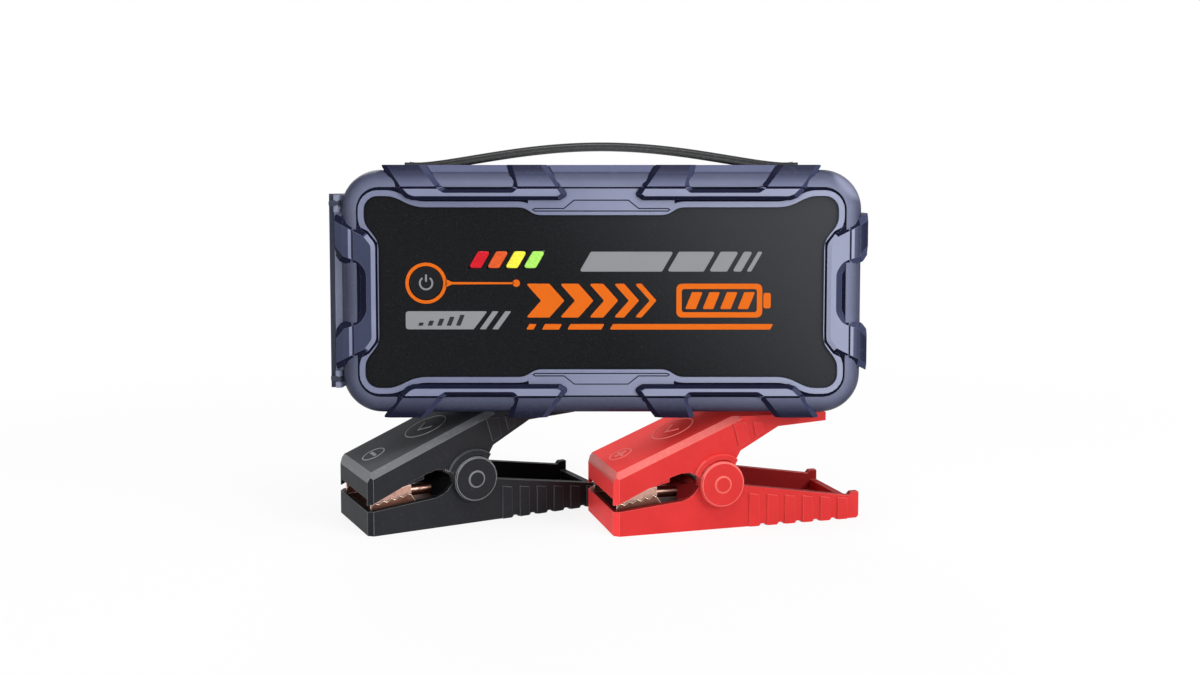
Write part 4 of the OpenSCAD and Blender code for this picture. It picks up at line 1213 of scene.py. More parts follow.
@dataclass
class Case:
    """The two case halves with their seal and screws."""

    place: Place
    edge: float = 0.3
    screw_edge: float = 0.12
    half_h: float = 50.5
    groove: float = 20.0
    lip: float = 20.7
    rail_half: float = 75.0
    fine_line: Point = (32.6, 39.0)
    fine_half: float = 29.5
    panel_end: Point = (80.0, 20.0)
    near: float = 0.05

    def build(self, finishes: Finishes) -> None:
        """Builds and dresses the case."""
        dress = finishes("case_plastic", "groove_plastic", "lip_plastic", "case_edge", "rail_strip")
        for node, side in (("front_frame", 1), ("rear_frame", -1)):
            piece = Workpiece.copy_of(node, self.place)
            piece.split((0, 0, 0), (1, 0, 0))
            piece.sort_faces(lambda middle, normal: self._slot(middle, normal, side))
            # The rounding gets a painted highlight.
            piece.complete(dress, self.edge, CaseFinish.EDGE, 24.0, self._on_fine_line)
            piece.recolour(self._line_slot)
            self.place.carry(piece).hand_over("pack", "case", node)
        for node in ("case_screws", "strap_screws"):
            fine_copy(node, self.screw_edge, finishes("steel_metal"), "pack", "screws")
        dress_node("case_gasket", finishes("seal_rubber")[0])

    def _slot(self, middle: Vector, normal: Vector, side: int) -> int:
        """Chooses the finish of one face of a case half: plain, pale lip, or painted shade in the groove and on
        the rail's sloping strip.
        """
        height = middle.z * side
        if abs(normal.z) > FLAT:
            if abs(height - self.groove) < self.near:
                beside_panel = abs(middle.x) > self.panel_end[0] and abs(middle.y) < self.panel_end[1]
                return CaseFinish.LIP if beside_panel else CaseFinish.GROOVE
            if abs(height - self.lip) < self.near:
                return CaseFinish.LIP
        on_rail = self.half_h - 0.95 < middle.y < self.half_h + 1.9 and abs(middle.x) < self.rail_half
        sloping = normal.y > 0.3 and normal.z * side > 0.3
        return CaseFinish.RAIL if on_rail and sloping else CaseFinish.PLAIN

    def _on_fine_line(self, middle: Vector) -> bool:
        """Tells whether an edge belongs to the fine line in the lip's wide middle."""
        low, high = self.fine_line
        in_line = abs(middle.x) < self.fine_half and low < abs(middle.y) < high
        return in_line and abs(middle.z) > self.groove - 0.5

    def _line_slot(self, middle: Vector, normal: Vector, slot: int) -> int:
        """Turns the rounding into painted shade in the rail's crease and along the rail's top."""
        crease = self.half_h - 2.2 < abs(middle.y) < self.half_h - 0.5
        top = abs(middle.y) > self.half_h + 1.55
        on_rail = abs(middle.x) < self.rail_half + 1 and (crease or top)
        return CaseFinish.GROOVE if slot == CaseFinish.EDGE and on_rail else slot


class GuardFinish(IntEnum):
    """The finish slots of a guard."""

    # DARK is painted shade, SIDE a lighter painted shade for bands that face right, LIGHT painted light and
    # EDGE a painted highlight.
    PLAIN = 0
    DARK = 1
    LIGHT = 2
    EDGE = 3
    SIDE = 4


@dataclass
class Guard:
    """One guard's plan on its own plane: s along the case's edge, q outwards and z towards the viewer."""

    outline: list[Point]
    half: float
    out: float
    crest: float = 22.5
    shrink: float = 0.04
    wide: float = 2.2
    narrow: float = 1.5
    slope: float = 0.45

    def drops(self) -> list[Point]:
        """Gives how far the face lies below the crest at places across the guard, outermost first."""
        outermost = [(self.out + 1.5, 5.4), (self.out, 4.4), (self.out - 3.6, 2.0)]
        return [*outermost, (-6.0, 0.6), (-6.9, 0.4), (-7.3, 0.9), (-7.9, 0.0), (-30.0, 0.0)]

    def profile(self) -> list[Point]:
        """Gives the face's height at places across the guard, outermost first."""
        return [(self.half + q, self.crest - self.shrink - drop) for q, drop in self.drops()]

    def height(self, q: float) -> float:
        """Gives the face's height at one place across the guard."""
        steps = self.profile()
        for (q1, h1), (q0, h0) in zip(steps, steps[1:]):
            if q0 <= q <= q1:
                return h0 + (h1 - h0) * (q - q0) / (q1 - q0)
        return steps[-1][1]

    def band(self, middle: Vector, along: Vector) -> float:
        """Gives the width of the sloped band inside one edge of the outline."""
        if middle.y > self.half + self.out + 0.2:
            return 0.0
        return self.narrow + (self.wide - self.narrow) * abs(along.y)

    def band_slot(self, middle: Vector) -> int:
        """Gives the finish slot of the sloped band near a place: painted shade."""
        return GuardFinish.DARK

    def skin(self, name: str) -> Workpiece:
        """Models the guard from its face inwards, as a closed solid through the whole case."""
        outer = moved_in(self.outline, lambda middle, along: self.shrink)
        inner = moved_in(outer, self.band)
        piece = Workpiece.outline(name, inner)
        for q, _ in self.profile()[2:-1]:
            piece.split((0, q, 0), (0, 1, 0))
        for vertex in piece.thing.data.vertices:
            vertex.co.z = self.height(vertex.co.y)
        for face in piece.thing.data.polygons:
            face.material_index = self.face_slot(face.center.y)
        piece.edit()
        piece.pick("EDGE", lambda edge: edge.is_boundary)
        bpy.ops.mesh.extrude_edges_move(TRANSFORM_OT_translate={"value": (0, 0, 0)})
        self._spread(piece, inner, outer)
        bpy.ops.mesh.extrude_edges_move(TRANSFORM_OT_translate={"value": (0, 0, -5)})
        bpy.ops.transform.resize(value=(1, 1, 0), center_override=(0, 0, 0))
        piece.leave()
        piece.modify("MIRROR", use_axis=(False, False, True), merge_threshold=0.01)
        piece.outward()
        return piece

    def face_slot(self, q: float) -> int:
        """Gives the finish slot of the face at one place across the guard: plain, a line of painted shade, or a
        band of painted light.
        """
        inset = q - self.half
        if inset < -7.9:
            return GuardFinish.LIGHT
        return GuardFinish.DARK if inset < -6.9 else GuardFinish.PLAIN

    def _spread(self, piece: Workpiece, inner: Sequence[Point], outer: Sequence[Point]) -> None:
        """Moves the picked rim from the inner outline to the outer one and lowers it, in edit mode."""
        shape = bmesh.from_edit_mesh(piece.thing.data)
        rim = [vertex for vertex in shape.verts if vertex.select]
        for vertex in rim:
            start = vertex.co.copy()
            x, y = self._carried(start, inner, outer)
            vertex.co.x, vertex.co.y = x, y
            vertex.co.z -= (start.xy - vertex.co.xy).length * self.slope
        for face in {face for vertex in rim for face in vertex.link_faces}:
            face.material_index = self.band_slot(face.calc_center_median())
        bmesh.update_edit_mesh(piece.thing.data)

    @staticmethod
    def _carried(spot: Vector, inner: Sequence[Point], outer: Sequence[Point]) -> Point:
        """Finds where a point on the inner outline lies on the outer one."""
        best, found = 1e9, (spot.x, spot.y)
        for i, start in enumerate(inner):
            k = (i + 1) % len(inner)
            first, second = Vector(start), Vector(inner[k])
            edge = second - first
            s = max(0.0, min(1.0, (spot.xy - first).dot(edge) / max(edge.length_squared, 1e-12)))
            gap = (first + edge * s - spot.xy).length
            if gap < best - 1e-6:
                best = gap
                carried = Vector(outer[i]) * (1 - s) + Vector(outer[k]) * s
                found = (carried.x, carried.y)
        return found


@dataclass
class SideGuard(Guard):
    """A guard on the pack's left or right, with two facets and a strip of painted highlight between them."""

    # faces_light gives the inner face painted light.
    faces_light: bool = False
    wide: float = 2.7
    narrow: float = 2.6

    def drops(self) -> list[Point]:
        """Gives how far the face lies below the crest at places across the guard, outermost first."""
        outermost = [(self.out + 1.5, 5.4), (self.out, 4.4), (-1.2, 2.1), (-3.8, 1.35)]
        return [*outermost, (-5.1, 0.95), (-5.5, 1.5), (-5.9, 1.0), (-30.0, 0.95)]

    def band_slot(self, middle: Vector) -> int:
        """Gives the finish slot of the sloped band near a place: painted light where it faces the panel,
        painted shade elsewhere.
        """
        return GuardFinish.LIGHT if middle.y < self.half - 11.5 else GuardFinish.DARK

    def face_slot(self, q: float) -> int:
        """Gives the finish slot of the face at one place across the guard: painted light on the right guard's
        inner face, a line of painted shade and a strip of painted highlight.
        """
        inset = q - self.half
        if inset < -5.9:
            return GuardFinish.LIGHT if self.faces_light else GuardFinish.PLAIN
        if inset < -5.1:
            return GuardFinish.DARK
        return GuardFinish.LIGHT if inset < -3.8 else GuardFinish.PLAIN


@dataclass
class Guards:
    """The six guards that wrap the case's edges."""

    place: Place
    half_w: float = 107.7
    half_h: float = 50.5
    edge: float = 0.16
    scrap: float = 0.06
    rim: float = 51.5

    def top_outline(self) -> list[Point]:
        """Gives the outline of the top right guard."""
        top = self.half_h + 2.8
        points = [
            (90.4, top), (73.1, top), (65.3, 43.7), (63.5, 42.5), (37.4, 42.5), (36.2, 43.7), (39.2, top),
            (22.9, top), (14.3, 40.9), (14.4, 39.7), (16.9, 38.1), (77.6, 38.1), (80.3, 39.1), (83.6, 42.3),
            (90.4, 51.7),
        ]
        return rounded(points, [0, 0, 1, 1, 1, 1, 0, 0, 1, 1, 1, 5, 5, 5, 1])

    def side_outline(self) -> list[Point]:
        """Gives the outline of a side guard, with s up the case and q outwards."""
        out = self.half_w + 3.4
        upper = [(33.2, out), (16.4, out), (12.5, 107.5), (10.5, 101.0), (7.5, 99.1)]
        lower = [(-s, q) for s, q in reversed(upper)]
        foot = [(-27.9, 100.8), (-25.3, 95.7), (-20.4, 91.9)]
        rise = [(-s, q) for s, q in reversed(foot)]
        radii = [0, 0, 3, 3, 4, 4, 3, 3, 0, 0, 5, 5, 6, 6, 5, 5]
        return rounded(upper + lower + foot + rise, radii)

    def build(self, finishes: Finishes) -> None:
        """Builds, trims and dresses all six."""
        flat = Guard(self.top_outline(), self.half_h, 2.0).skin("flat_guard")
        right = SideGuard(self.side_outline(), self.half_w, 2.4, faces_light=True).skin("right_guard")
        left = SideGuard(self.side_outline(), self.half_w, 2.4).skin("left_guard")
        turns = {
            "guard_top_right": (flat, ((1, 0), (0, 1))),
            "guard_top_left": (flat, ((-1, 0), (0, 1))),
            "guard_bottom_right": (flat, ((1, 0), (0, -1))),
            "guard_bottom_left": (flat, ((-1, 0), (0, -1))),
            "guard_right": (right, ((0, 1), (1, 0))),
            "guard_left": (left, ((0, -1), (1, 0))),
        }
        for node, (model, ((a, b), (c, d))) in turns.items():
            plain = "guard_shaded" if node == "guard_left" else "guard_plastic"
            dress = finishes(plain, "guard_dark", "guard_light", "guard_edge", "guard_side")
            turn = Matrix(((a, b, 0, 0), (c, d, 0, 0), (0, 0, 1, 0), (0, 0, 0, 1)))
            piece = model.double(f"{node}_finished", turn)
            piece.dress(*dress)
            tool = Workpiece.copy_of(node, self.place)
            tool.dress(*dress)
            piece.cut(tool, "INTERSECT")
            piece.merge_close(self.scrap)
            self._share_out(piece)
            piece.recolour(self._painted_light_to_the_right)
            # The rounding gets a painted highlight.
            piece.round_edges(self.edge, 2, 12.0, GuardFinish.EDGE)
            piece.recolour(self._painted_shade_on_the_rim)
            piece.smooth(30.0)
            self.place.carry(piece).hand_over("pack", "guard", node)
        for model in (flat, right, left):
            bpy.data.objects.remove(model.thing)

    @staticmethod
    def _painted_light_to_the_right(middle: Vector, normal: Vector, slot: int) -> int:
        """Makes the bands of painted shade that face right a little paler, as painted light from the right."""
        return GuardFinish.SIDE if slot == GuardFinish.DARK and normal.x > 0.2 else slot

    def _painted_shade_on_the_rim(self, middle: Vector, normal: Vector, slot: int) -> int:
        """Paints shade on the rounding along the outermost rim."""
        return GuardFinish.DARK if slot == GuardFinish.EDGE and abs(middle.y) > self.rim + 0.4 else slot

    def _share_out(self, piece: Workpiece) -> None:
        """Divides the many-cornered faces on the outermost rim into triangles, which stay flat when rounded."""
        piece.edit()
        piece.pick(
            "FACE",
            lambda face: len(face.verts) > 4
            and abs(face.normal.y) > FLAT
            and abs(face.calc_center_median().y) > self.rim,
        )
        bpy.ops.mesh.quads_convert_to_tris(quad_method="BEAUTY", ngon_method="BEAUTY")
        piece.leave()


@dataclass
class Panels:
    """Front and rear panel with their printed marks."""

    place: Place
    face: float = 19.8
    ink_low: float = -0.06
    ink_high: float = 0.035
    button: Point = BUTTON
    ring_inner: float = 7.1
    ring_outer: float = 8.5
    dot: Point = (-35.0, 1.5)

    def build(self, finishes: Finishes) -> None:
        """Builds both panels and every printed mark."""
        for node in ("front_panel", "rear_panel"):
            fine_copy(node, 0.18, finishes("panel_black"), "pack", "panel")
        self._print("ink_ring", [self._ring(), *self._leader()], finishes("ink_orange"))
        self._print("ink_chevrons", self._chevrons(), finishes("ink_orange"))
        self._print("ink_cell_sign", self._cell_sign(), finishes("ink_orange"))
        self._print("ink_dashes", self._dashes(), finishes("ink_orange"))
        self._print("ink_plates", self._plates(), finishes("ink_grey"))
        self._print("ink_tag", self._tag(), finishes("ink_grey"))
        self._print("ink_level", self._level(), finishes("ink_dark"))

    def _print(self, name: str, marks: list[Workpiece], dress: list[bpy.types.Material]) -> None:
        """Joins marks to one layer of ink on the front panel."""
        layer, *rest = marks
        layer.join(rest)
        layer.thing.name = layer.thing.data.name = name
        layer.dress(*dress)
        self.place.carry(layer).hand_over("pack", "panel")

    def _mark(self, points: Sequence[Point], radius: float = 0.5, lift: float = 0.0) -> Workpiece:
        """Makes one flat mark of ink from its outline."""
        outline = rounded(points, radius, 4) if radius else points
        return Workpiece.plate("mark", outline, self.face + self.ink_low, self.face + self.ink_high + lift)

    def _hoop(self, outer: Sequence[Point], inner: Sequence[Point]) -> Workpiece:
        """Makes a closed line of ink between two outlines."""
        return Workpiece.ring("mark", outer, inner, self.face + self.ink_low, self.face + self.ink_high)

    @staticmethod
    def _slanted(x: float, y: float, width: float, height: float, slant: float = 0.58) -> list[Point]:
        """Gives a slanted bar's corners from its lower left corner."""
        lean = height * slant
        return [(x, y), (x + width, y), (x + width + lean, y + height), (x + lean, y + height)]

    def _ring(self) -> Workpiece:
        """Makes the ring round the button."""
        return self._hoop(circle(self.button, self.ring_outer, 72), circle(self.button, self.ring_inner, 72))

    def _leader(self) -> list[Workpiece]:
        """Makes the thin line that leaves the ring and ends in a round dot."""
        x, y = self.button
        dot_x, dot_r = self.dot
        start = x + self.ring_outer - 0.4
        under = [(start, y - 1.7), (start + 2.6, y - 0.5), (dot_x - 1.0, y - 0.38)]
        over = [(dot_x - 1.0, y + 0.38), (start + 2.6, y + 0.5), (start, y + 1.7)]
        return [self._mark(under + over, 0), self._mark(circle((dot_x, y), dot_r, 28), 0)]

    def _chevrons(self) -> list[Workpiece]:
        """Makes the row of arrow-like chevrons, each narrower than the last."""
        marks = []
        x, y, half, tip, gap = -31.0, -3.4, 7.0, 6.2, 4.4
        for width in (9.6, 7.6, 5.8, 4.2, 2.8):
            points = [
                (x, y - half), (x + width, y - half), (x + width + tip, y),
                (x + width, y + half), (x, y + half), (x + tip, y),
            ]
            marks.append(self._mark(points, 0.6))
            x += width + gap
        return marks

    def _cell_sign(self) -> list[Workpiece]:
        """Makes the plain sign of a charged cell."""
        outer = rounded([(31.0, -10.4), (66.4, -10.4), (66.4, 3.6), (31.0, 3.6)], 2.6, 6)
        inner = rounded([(33.2, -8.2), (64.2, -8.2), (64.2, 1.4), (33.2, 1.4)], 1.2, 6)
        border = self._hoop(outer, inner)
        nub = self._mark([(66.9, -6.6), (69.9, -6.6), (69.9, -0.2), (66.9, -0.2)], 1.0)
        bars = [self._mark(self._slanted(34.6 + 7.2 * k, -6.9, 4.4, 7.0, 0.4), 0.5) for k in range(4)]
        return [border, nub, *bars]

    def _dashes(self) -> list[Workpiece]:
        """Makes the broken line under the big marks."""
        spans = [(-31.0, 3.0), (-24.5, 7.0), (-14.0, 14.0), (3.5, 66.2)]
        return [self._mark(self._slanted(x, -15.4, width, 2.3), 0.4) for x, width in spans]

    def _plates(self) -> list[Workpiece]:
        """Makes the row of grey slanted plates, each shorter than the last."""
        marks = []
        x, y, height, gap = -9.0, 8.6, 8.2, 2.2
        for width in (34.0, 15.0, 7.4, 3.6, 1.9):
            marks.append(self._mark(self._slanted(x, y, width, height), 0.8))
            x += width + gap
        return marks

    def _tag(self) -> list[Workpiece]:
        """Makes the grey tag under the button and its two strokes."""
        tag = rounded([(-80.7, -15.3), (-52.7, -15.3), (-46.9, -7.8), (-80.7, -7.8)], [1.4, 0.5, 0.5, 1.4])
        strokes = [self._slanted(x, -15.3, 2.5, 7.5, 0.72) for x in (-50.2, -45.0)]
        return [self._mark(tag, 0), *[self._mark(stroke, 0.3) for stroke in strokes]]

    def _level(self) -> list[Workpiece]:
        """Makes the dark rising bars on the tag."""
        return [
            self._mark(self._slanted(-75.6 + 3.9 * k, -13.8, 1.9, 1.3 + 0.8 * k, 0.4), 0.25, lift=0.02)
            for k in range(5)
        ]


@dataclass
class Controls:
    """The power button's cap and the four lamp windows."""

    place: Place
    middle: Point = BUTTON
    cap_r: float = 6.8
    flange_r: float = 8.0
    flange: float = 0.9
    stem_r: float = 2.0
    stem: float = 0.9
    dish: tuple[Point, ...] = ((0.9, 0.0), (0.5, -0.3), (2.2, -0.12))
    gap: float = 0.1
    back: float = 17.8
    top: float = 20.0
    bar_x: float = -54.8
    bar_pitch: float = 7.5
    bar_span: Point = (10.0, 17.0)
    bar_width: float = 5.3
    bar_lean: float = 4.1
    bar_gap: float = 0.05

    def build(self, finishes: Finishes) -> None:
        """Builds the cap with its sign, and the lamps."""
        cap = self._cap()
        cap.dress(*finishes("button_plastic", "port_plastic"))
        self.place.carry(cap).hand_over("button", "panel", "power_button")
        sign = self._sign()
        sign.dress(*finishes("ink_pale"))
        self.place.carry(sign).hand_over("button", "panel")
        for i, colour in enumerate(("red", "orange", "yellow", "green")):
            lamp = self._lamp(i, f"led_window_{colour}_finished")
            lamp.dress(*finishes(f"lamp_{colour}_glass"))
            self.place.carry(lamp).hand_over("pack", f"lamp_{colour}", f"led_window_{colour}")
        dress_node("button_switch", finishes("steel_metal")[0])

    def _cap(self) -> Workpiece:
        """Models the cap: a flange, a stem underneath, a rounded rim and a shallow dish."""
        x, y = self.middle
        low = self.back - self.gap - self.flange
        cap = Workpiece.primitive(
            "power_button_finished", "cylinder", vertices=64, radius=self.flange_r, depth=self.flange,
            location=(x, y, low + self.flange / 2),
        )
        cap.settle()
        cap.edit()
        cap.pick("FACE", lambda face: face.normal.z > 0.9)
        bpy.ops.mesh.inset(thickness=self.flange_r - self.cap_r)
        push_up(self.top - self.back + self.gap)
        for width, depth in self.dish:
            bpy.ops.mesh.inset(thickness=width, depth=depth)
        cap.pick("FACE", lambda face: face.normal.z < -0.9)
        bpy.ops.mesh.inset(thickness=self.flange_r - self.stem_r)
        push_up(-self.stem)
        cap.leave()
        cap.round_edges(0.25, 3, 35.0)
        cap.smooth(45.0)
        return cap

    def _sign(self) -> Workpiece:
        """Models the plain standby sign, an open ring and a bar, as raised ink in the dish."""
        x, y = self.middle
        floor = self.top - 0.42
        outer, inner = 2.95, 2.2
        turns = [math.radians(125 + 290 * k / 40) for k in range(41)]
        points = [(x + outer * math.cos(a), y + outer * math.sin(a)) for a in turns]
        points += [(x + inner * math.cos(a), y + inner * math.sin(a)) for a in reversed(turns)]
        sign = Workpiece.plate("power_sign", points, floor - 0.05, floor + 0.05)
        bar = rounded([(x - 0.4, y + 0.5), (x + 0.4, y + 0.5), (x + 0.4, y + 3.6), (x - 0.4, y + 3.6)], 0.3, 4)
        sign.join([Workpiece.plate("power_bar", bar, floor - 0.05, floor + 0.06)])
        sign.outward()
        return sign

    def _lamp(self, i: int, name: str) -> Workpiece:
        """Models one lamp window: a slanted pane with round corners and a sloped rim."""
        left, (low, high) = self.bar_x + i * self.bar_pitch, self.bar_span
        right = left + self.bar_width
        points = [(left, low), (right, low), (right + self.bar_lean, high), (left + self.bar_lean, high)]
        outline = moved_in(rounded(points, 1.2, 5), lambda middle, along: self.bar_gap)
        lamp = Workpiece.plate(name, outline, self.back, self.top - 0.35)
        lamp.edit()
        lamp.pick("FACE", lambda face: face.normal.z > 0.9)
        bpy.ops.mesh.inset(thickness=0.3, depth=0.2)
        lamp.leave()
        lamp.smooth(30.0)
        return lamp


@dataclass
class Strap:
    """The carry strap: a bowed rubber band with raised edges, a parting line and countersunk ends."""

    place: Place
    half: float = 82.0
    bow: float = 76.0
    rise: float = 8.3
    thick: float = 3.0
    width: float = 22.0
    low: float = 50.6
    steps: int = 96
    screw_x: float = 75.0
    head_r: float = 3.4
    shank_r: float = 1.6
    border: float = 2.2
    step: float = 0.4
    groove_in: float = 0.7
    groove_side: float = 0.35
    groove_depth: float = 0.25

    def build(self, finishes: Finishes) -> None:
        """Builds and dresses the strap."""
        strap = self._band()
        strap.dress(*finishes("strap_rubber", "strap_edge", "strap_line"))
        for side in (-1, 1):
            for radius, low, high in ((self.head_r, 1.8, 3.4), (self.shank_r, -0.6, 3.4)):
                middle = (side * self.screw_x, self.low + (low + high) / 2, 0)
                tool = Workpiece.primitive(
                    "countersink", "cylinder", vertices=40, radius=radius, depth=high - low,
                    location=middle, rotation=(math.pi / 2, 0, 0),
                )
                tool.settle()
                strap.cut(tool)
        strap.round_edges(0.35, 2, 40.0, 1)
        strap.smooth(35.0)
        self.place.carry(strap).hand_over("pack", "strap", "carry_strap")

    def _band(self) -> Workpiece:
        """Models the band flat, then bows it."""
        strap = Workpiece.primitive(
            "carry_strap_finished", "grid", x_subdivisions=self.steps, y_subdivisions=1, size=1.0
        )
        strap.shift(Matrix.Rotation(-math.pi / 2, 4, "X") @ Matrix.Diagonal((2 * self.half, self.width, 1, 1)))
        strap.edit()
        bpy.ops.mesh.extrude_region_move(TRANSFORM_OT_translate={"value": (0, self.thick, 0)})
        strap.outward()
        strap.edit()
        strap.pick("FACE", lambda face: face.normal.y > 0.9)
        bpy.ops.mesh.inset(thickness=self.border)
        bpy.ops.mesh.inset(thickness=self.step, depth=-self.step)
        for side in (-1, 1):
            strap.pick("FACE", lambda face: face.normal.z * side > 0.9)
            bpy.ops.mesh.inset(thickness=self.groove_in)
            bpy.ops.mesh.inset(thickness=self.groove_side, depth=-self.groove_depth)
        strap.leave()
        # One sloped wall of each side groove takes a painted highlight.
        strap.recolour(
            lambda middle, normal, slot: 2 if abs(normal.z) > 0.3 and -0.95 < normal.y < -0.3 else slot
        )
        for vertex in strap.thing.data.vertices:
            lift = max(0.0, 1 - (vertex.co.x / self.bow) ** 2) ** 1.5
            vertex.co.y += self.low + self.rise * lift
        return strap


@dataclass
class PortSide:
    """The bezel with its sockets, and the door with its pins."""

    place: Place
    knuckles: float = 35.5
    bezel_edge: float = 0.25
    door_edge: float = 0.3
    door_border: float = 2.6
    door_step: Point = (0.5, 0.4)
    large: float = 500.0

    def build(self, finishes: Finishes) -> None:
        """Builds and dresses the port side."""
        low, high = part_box("usb_a_ports")
        bezel = Workpiece.copy_of("port_bezel")
        bezel.split((low + high) / 2, (0, 1, 0))
        bezel.complete(finishes("bezel_plastic", "case_edge"), self.bezel_edge * MM, 1)
        bezel.hand_over("pack", "case", "port_bezel")
        door = Workpiece.copy_of("port_door", self.place)
        for side in (-1, 1):
            door.split((0, side * self.knuckles, 0), (0, 1, 0))
        door.edit()
        door.pick("FACE", lambda face: face.normal.x < -FLAT and face.calc_area() > self.large)
        bpy.ops.mesh.inset(thickness=self.door_border)
        bpy.ops.mesh.inset(thickness=self.door_step[0], depth=-self.door_step[1])
        door.leave()
        door.complete(finishes("door_plastic", "door_edge"), self.door_edge, 1)
        self.place.carry(door).hand_over("door", "door", "port_door")
        fine_copy("output_socket", 0.3, finishes("socket_blue"), "pack", "socket")
        fine_copy("dc_jack", 0.2, finishes("port_plastic"), "pack", "jack")
        for node in ("usb_a_ports", "usb_c_port"):
            fine_copy(node, 0.08, finishes("steel_metal"), "pack", "jack")
        dress_node("door_hinge_pins", finishes("steel_metal")[0])


class Side(Enum):
    """The two clamps: name, nose place along the case, turn about the upright and sign."""

    BLACK = ("black", -94.8, 28.0, "minus")
    RED = ("red", 5.5, 15.5, "plus")


class ClampFinish(IntEnum):
    """The finish slots of a clamp's mouldings."""

    # TOP and NOSE are painted light, EDGE and LINE painted highlights, HOLLOW painted shade.
    PLAIN = 0
    TOP = 1
    EDGE = 2
    LINE = 3
    HOLLOW = 4
    NOSE = 5


@dataclass
class Clamp:
    """One battery clamp, made in its side view: x along it, y across it and z up."""

    side: Side
    nose_y: float = -30.0
    width: float = 44.0
    nose_top: float = 25.4
    crest: Point = (50.0, 46.2)
    pivot: Point = (46.0, 19.5)
    cap: float = 3.2
    coil: Point = (-10.5, 11.8)
    lever_edge: float = 0.3
    cap_edge: float = 0.35
    jaw_edge: float = 0.22
    ferrule_edge: float = 0.14
    scrap: float = 0.06
    sign_x: float = 9.6
    grip_x: float = 35.0

    def build(self, finishes: Finishes, pack: Place) -> None:
        """Builds and dresses the clamp."""
        name, nose_x, yaw, sign = self.side.value
        origin = pack.matrix @ Vector((nose_x, 0, -self.nose_y))
        origin.z = 0
        place = Place.clamp(origin, yaw, self.width)
        slot = f"clamp_{name}"
        jaw = f"{name}_jaw"
        dress = finishes(*[f"{name}_{kind}" for kind in ("plastic", "top", "edge", "line", "inside", "nose")])
        mouldings = {
            "lower_lever": ("pack", self.lever_edge),
            "upper_lever": (jaw, self.lever_edge),
            "pivot_caps": ("pack", self.cap_edge),
        }
        for part, (body, edge) in mouldings.items():
            piece = Workpiece.copy_of(f"{name}_{part}", place)
            if part == "pivot_caps":
                piece.merge_close(self.scrap)
            piece.sort_faces(lambda middle, normal: self._slot(middle, normal, part))
            piece.complete(dress, edge, ClampFinish.LINE, 28.0)
            place.carry(piece).hand_over(body, slot, f"{name}_{part}")
        for part, body in (("lower_jaw", "pack"), ("upper_jaw", jaw)):
            piece = Workpiece.copy_of(f"{name}_{part}", place)
            piece.sort_faces(lambda middle, normal: int(abs(normal.y) < 0.3 and abs(normal.z) > 0.5))
            # The lower jaw's cheeks take painted shade, the tooth flanks painted shade and the rounding a
            # painted highlight.
            cheek = "copper_worn" if part == "lower_jaw" else "copper_metal"
            piece.complete(finishes(cheek, "copper_shade", "copper_pale"), self.jaw_edge, 2)
            place.carry(piece).hand_over(body, "copper", f"{name}_{part}")
        fine_copy(f"{name}_ferrule", self.ferrule_edge, finishes("copper_metal"), "pack", "copper")
        self._spring(name, jaw, place, finishes("steel_metal"))
        dress_node(f"{name}_pivot_pin", finishes("steel_metal")[0])
        marks = self._marks(f"{name}_marks", sign)
        # The raised marks are painted pale as a highlight.
        marks.dress(*finishes(f"{name}_mark"))
        place.carry(marks).hand_over(jaw, slot)
        rings = self._pivot_rings(f"{name}_pivot_rings")
        # The rings take the painted highlight of the rounding.
        rings.dress(*finishes(f"{name}_line"))
        place.carry(rings).hand_over("pack", slot)

    def _spring(self, name: str, jaw: str, place: Place, dress: list[bpy.types.Material]) -> None:
        """Dresses a smooth copy of the spring and hides the CAD node."""
        node = f"{name}_spring"
        spring = Workpiece.copy_of(node)
        spring.complete(dress, 0.0)
        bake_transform(spring.thing)
        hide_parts(node)
        LOG.info("%s winds up between pack and %s", spring.thing.name, jaw)

    def _slot(self, middle: Vector, normal: Vector, part: str) -> int:
        """Chooses the finish of one face: painted light on the sloping top and the nose, a painted highlight on
        the slanted edge along the top, painted shade in the hollow, or plain.
        """
        if part != "pivot_caps" and abs(middle.y) < self.width / 2 - 1:
            facing_in = middle.y * normal.y < 0 and abs(normal.y) > 0.5
            if facing_in or (normal.z if part == "lower_lever" else -normal.z) > 0.5:
                return ClampFinish.HOLLOW
        forward = normal.x < -0.6
        if middle.z >= self.nose_top - 4 and normal.z >= 0.3:
            return ClampFinish.EDGE if abs(normal.y) > 0.3 or forward else ClampFinish.TOP
        return ClampFinish.NOSE if forward and middle.x < 3 else ClampFinish.PLAIN

    def _marks(self, name: str, sign: str) -> Workpiece:
        """Models the raised sign near the nose and the grip ring above it, on the sloping top."""
        angle = math.atan2(self.crest[1] - self.nose_top, self.crest[0])
        on_slope = Matrix.Translation((0, 0, self.nose_top)) @ Matrix.Rotation(-angle, 4, "Y")
        long, short = 5.6, 1.4
        marks = self._hoop(name, self.sign_x, 4.9)
        marks.join([self._hoop("grip", self.grip_x, 9.4), self._chevron(), self._bar(self.sign_x, long, short)])
        if sign == "plus":
            marks.join([self._bar(self.sign_x, short, long)])
        marks.shift(on_slope)
        marks.smooth(60.0)
        return marks

    def _pivot_rings(self, name: str) -> Workpiece:
        """Models the fine raised ring round the middle of each pivot cap."""
        rings = [self._hoop(name, 0.0, 3.5) for _ in range(2)]
        for side, ring in zip((-1, 1), rings):
            face = Matrix.Translation((self.pivot[0], side * (self.width / 2 + self.cap), self.pivot[1]))
            ring.shift(face @ Matrix.Rotation(math.pi / 2, 4, "X"))
        rings[0].join(rings[1:])
        rings[0].smooth(60.0)
        return rings[0]

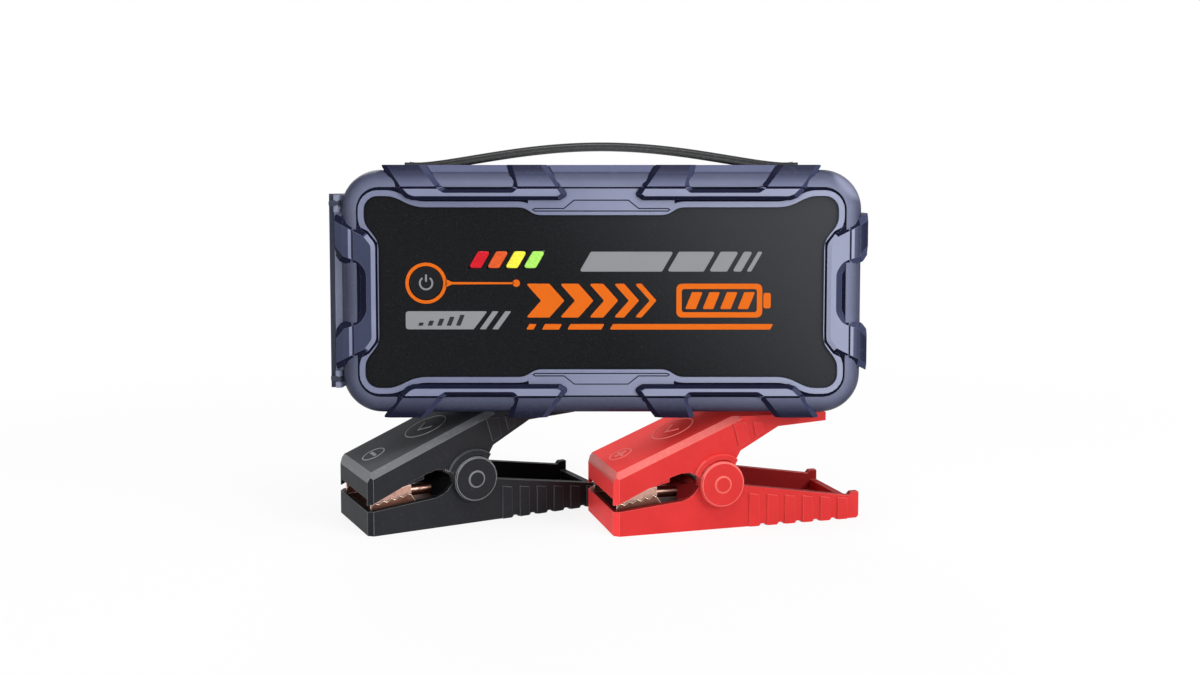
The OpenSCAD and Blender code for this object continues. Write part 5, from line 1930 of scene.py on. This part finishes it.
    @staticmethod
    def _hoop(name: str, along: float, radius: float) -> Workpiece:
        """Makes a low raised ring round a place on the slope."""
        hoop = Workpiece.primitive(
            name, "torus", major_radius=radius, minor_radius=0.27, major_segments=56, minor_segments=8,
            location=(along, 0, 0),
        )
        hoop.settle()
        hoop.shift(Matrix.Diagonal((1, 1, 0.8, 1)))
        return hoop

    @staticmethod
    def _chevron() -> Workpiece:
        """Makes the low raised arrow in the grip ring."""
        points = [(31.0, 0.0), (36.2, -4.6), (36.8, -4.1), (32.0, 0.0), (36.8, 4.1), (36.2, 4.6)]
        return Workpiece.plate("chevron", points, -0.2, 0.26)

    @staticmethod
    def _bar(along: float, width: float, length: float) -> Workpiece:
        """Makes a low raised bar with round edges."""
        points = [
            (along - length / 2, -width / 2), (along + length / 2, -width / 2),
            (along + length / 2, width / 2), (along - length / 2, width / 2),
        ]
        bar = Workpiece.plate("bar", rounded(points, 0.5, 4), -0.2, 0.28)
        bar.round_edges(0.12, 2, 50.0)
        return bar


@dataclass
class Inside:
    """What the case holds."""

    def build(self, finishes: Finishes) -> None:
        """Dresses the parts that keep their CAD shape."""
        dress = {
            "board_green": ("led_board", "main_board"),
            "chip_glass": ("led_chips",),
            "port_plastic": ("board_parts", "cell_tray"),
            "steel_metal": ("board_screws",),
            "cell_silver": ("cell_1", "cell_2", "cell_3", "cell_4"),
            "foam_grey": ("cell_foam",),
            "copper_metal": ("busbar_positive", "busbar_negative"),
        }
        for finish, nodes in dress.items():
            for node in nodes:
                dress_node(node, *finishes(finish))


def main() -> None:
    """Builds the whole scene."""
    logging.basicConfig(level=logging.INFO, format="%(message)s")
    Studio().build()
    finishes = Finishes()
    on_pack = Place.pack()
    Case(on_pack).build(finishes)
    Guards(on_pack).build(finishes)
    Panels(on_pack).build(finishes)
    Controls(on_pack).build(finishes)
    Strap(on_pack).build(finishes)
    PortSide(on_pack).build(finishes)
    Inside().build(finishes)
    for side in Side:
        Clamp(side).build(finishes, on_pack)


if __name__ == "__main__":
    main()
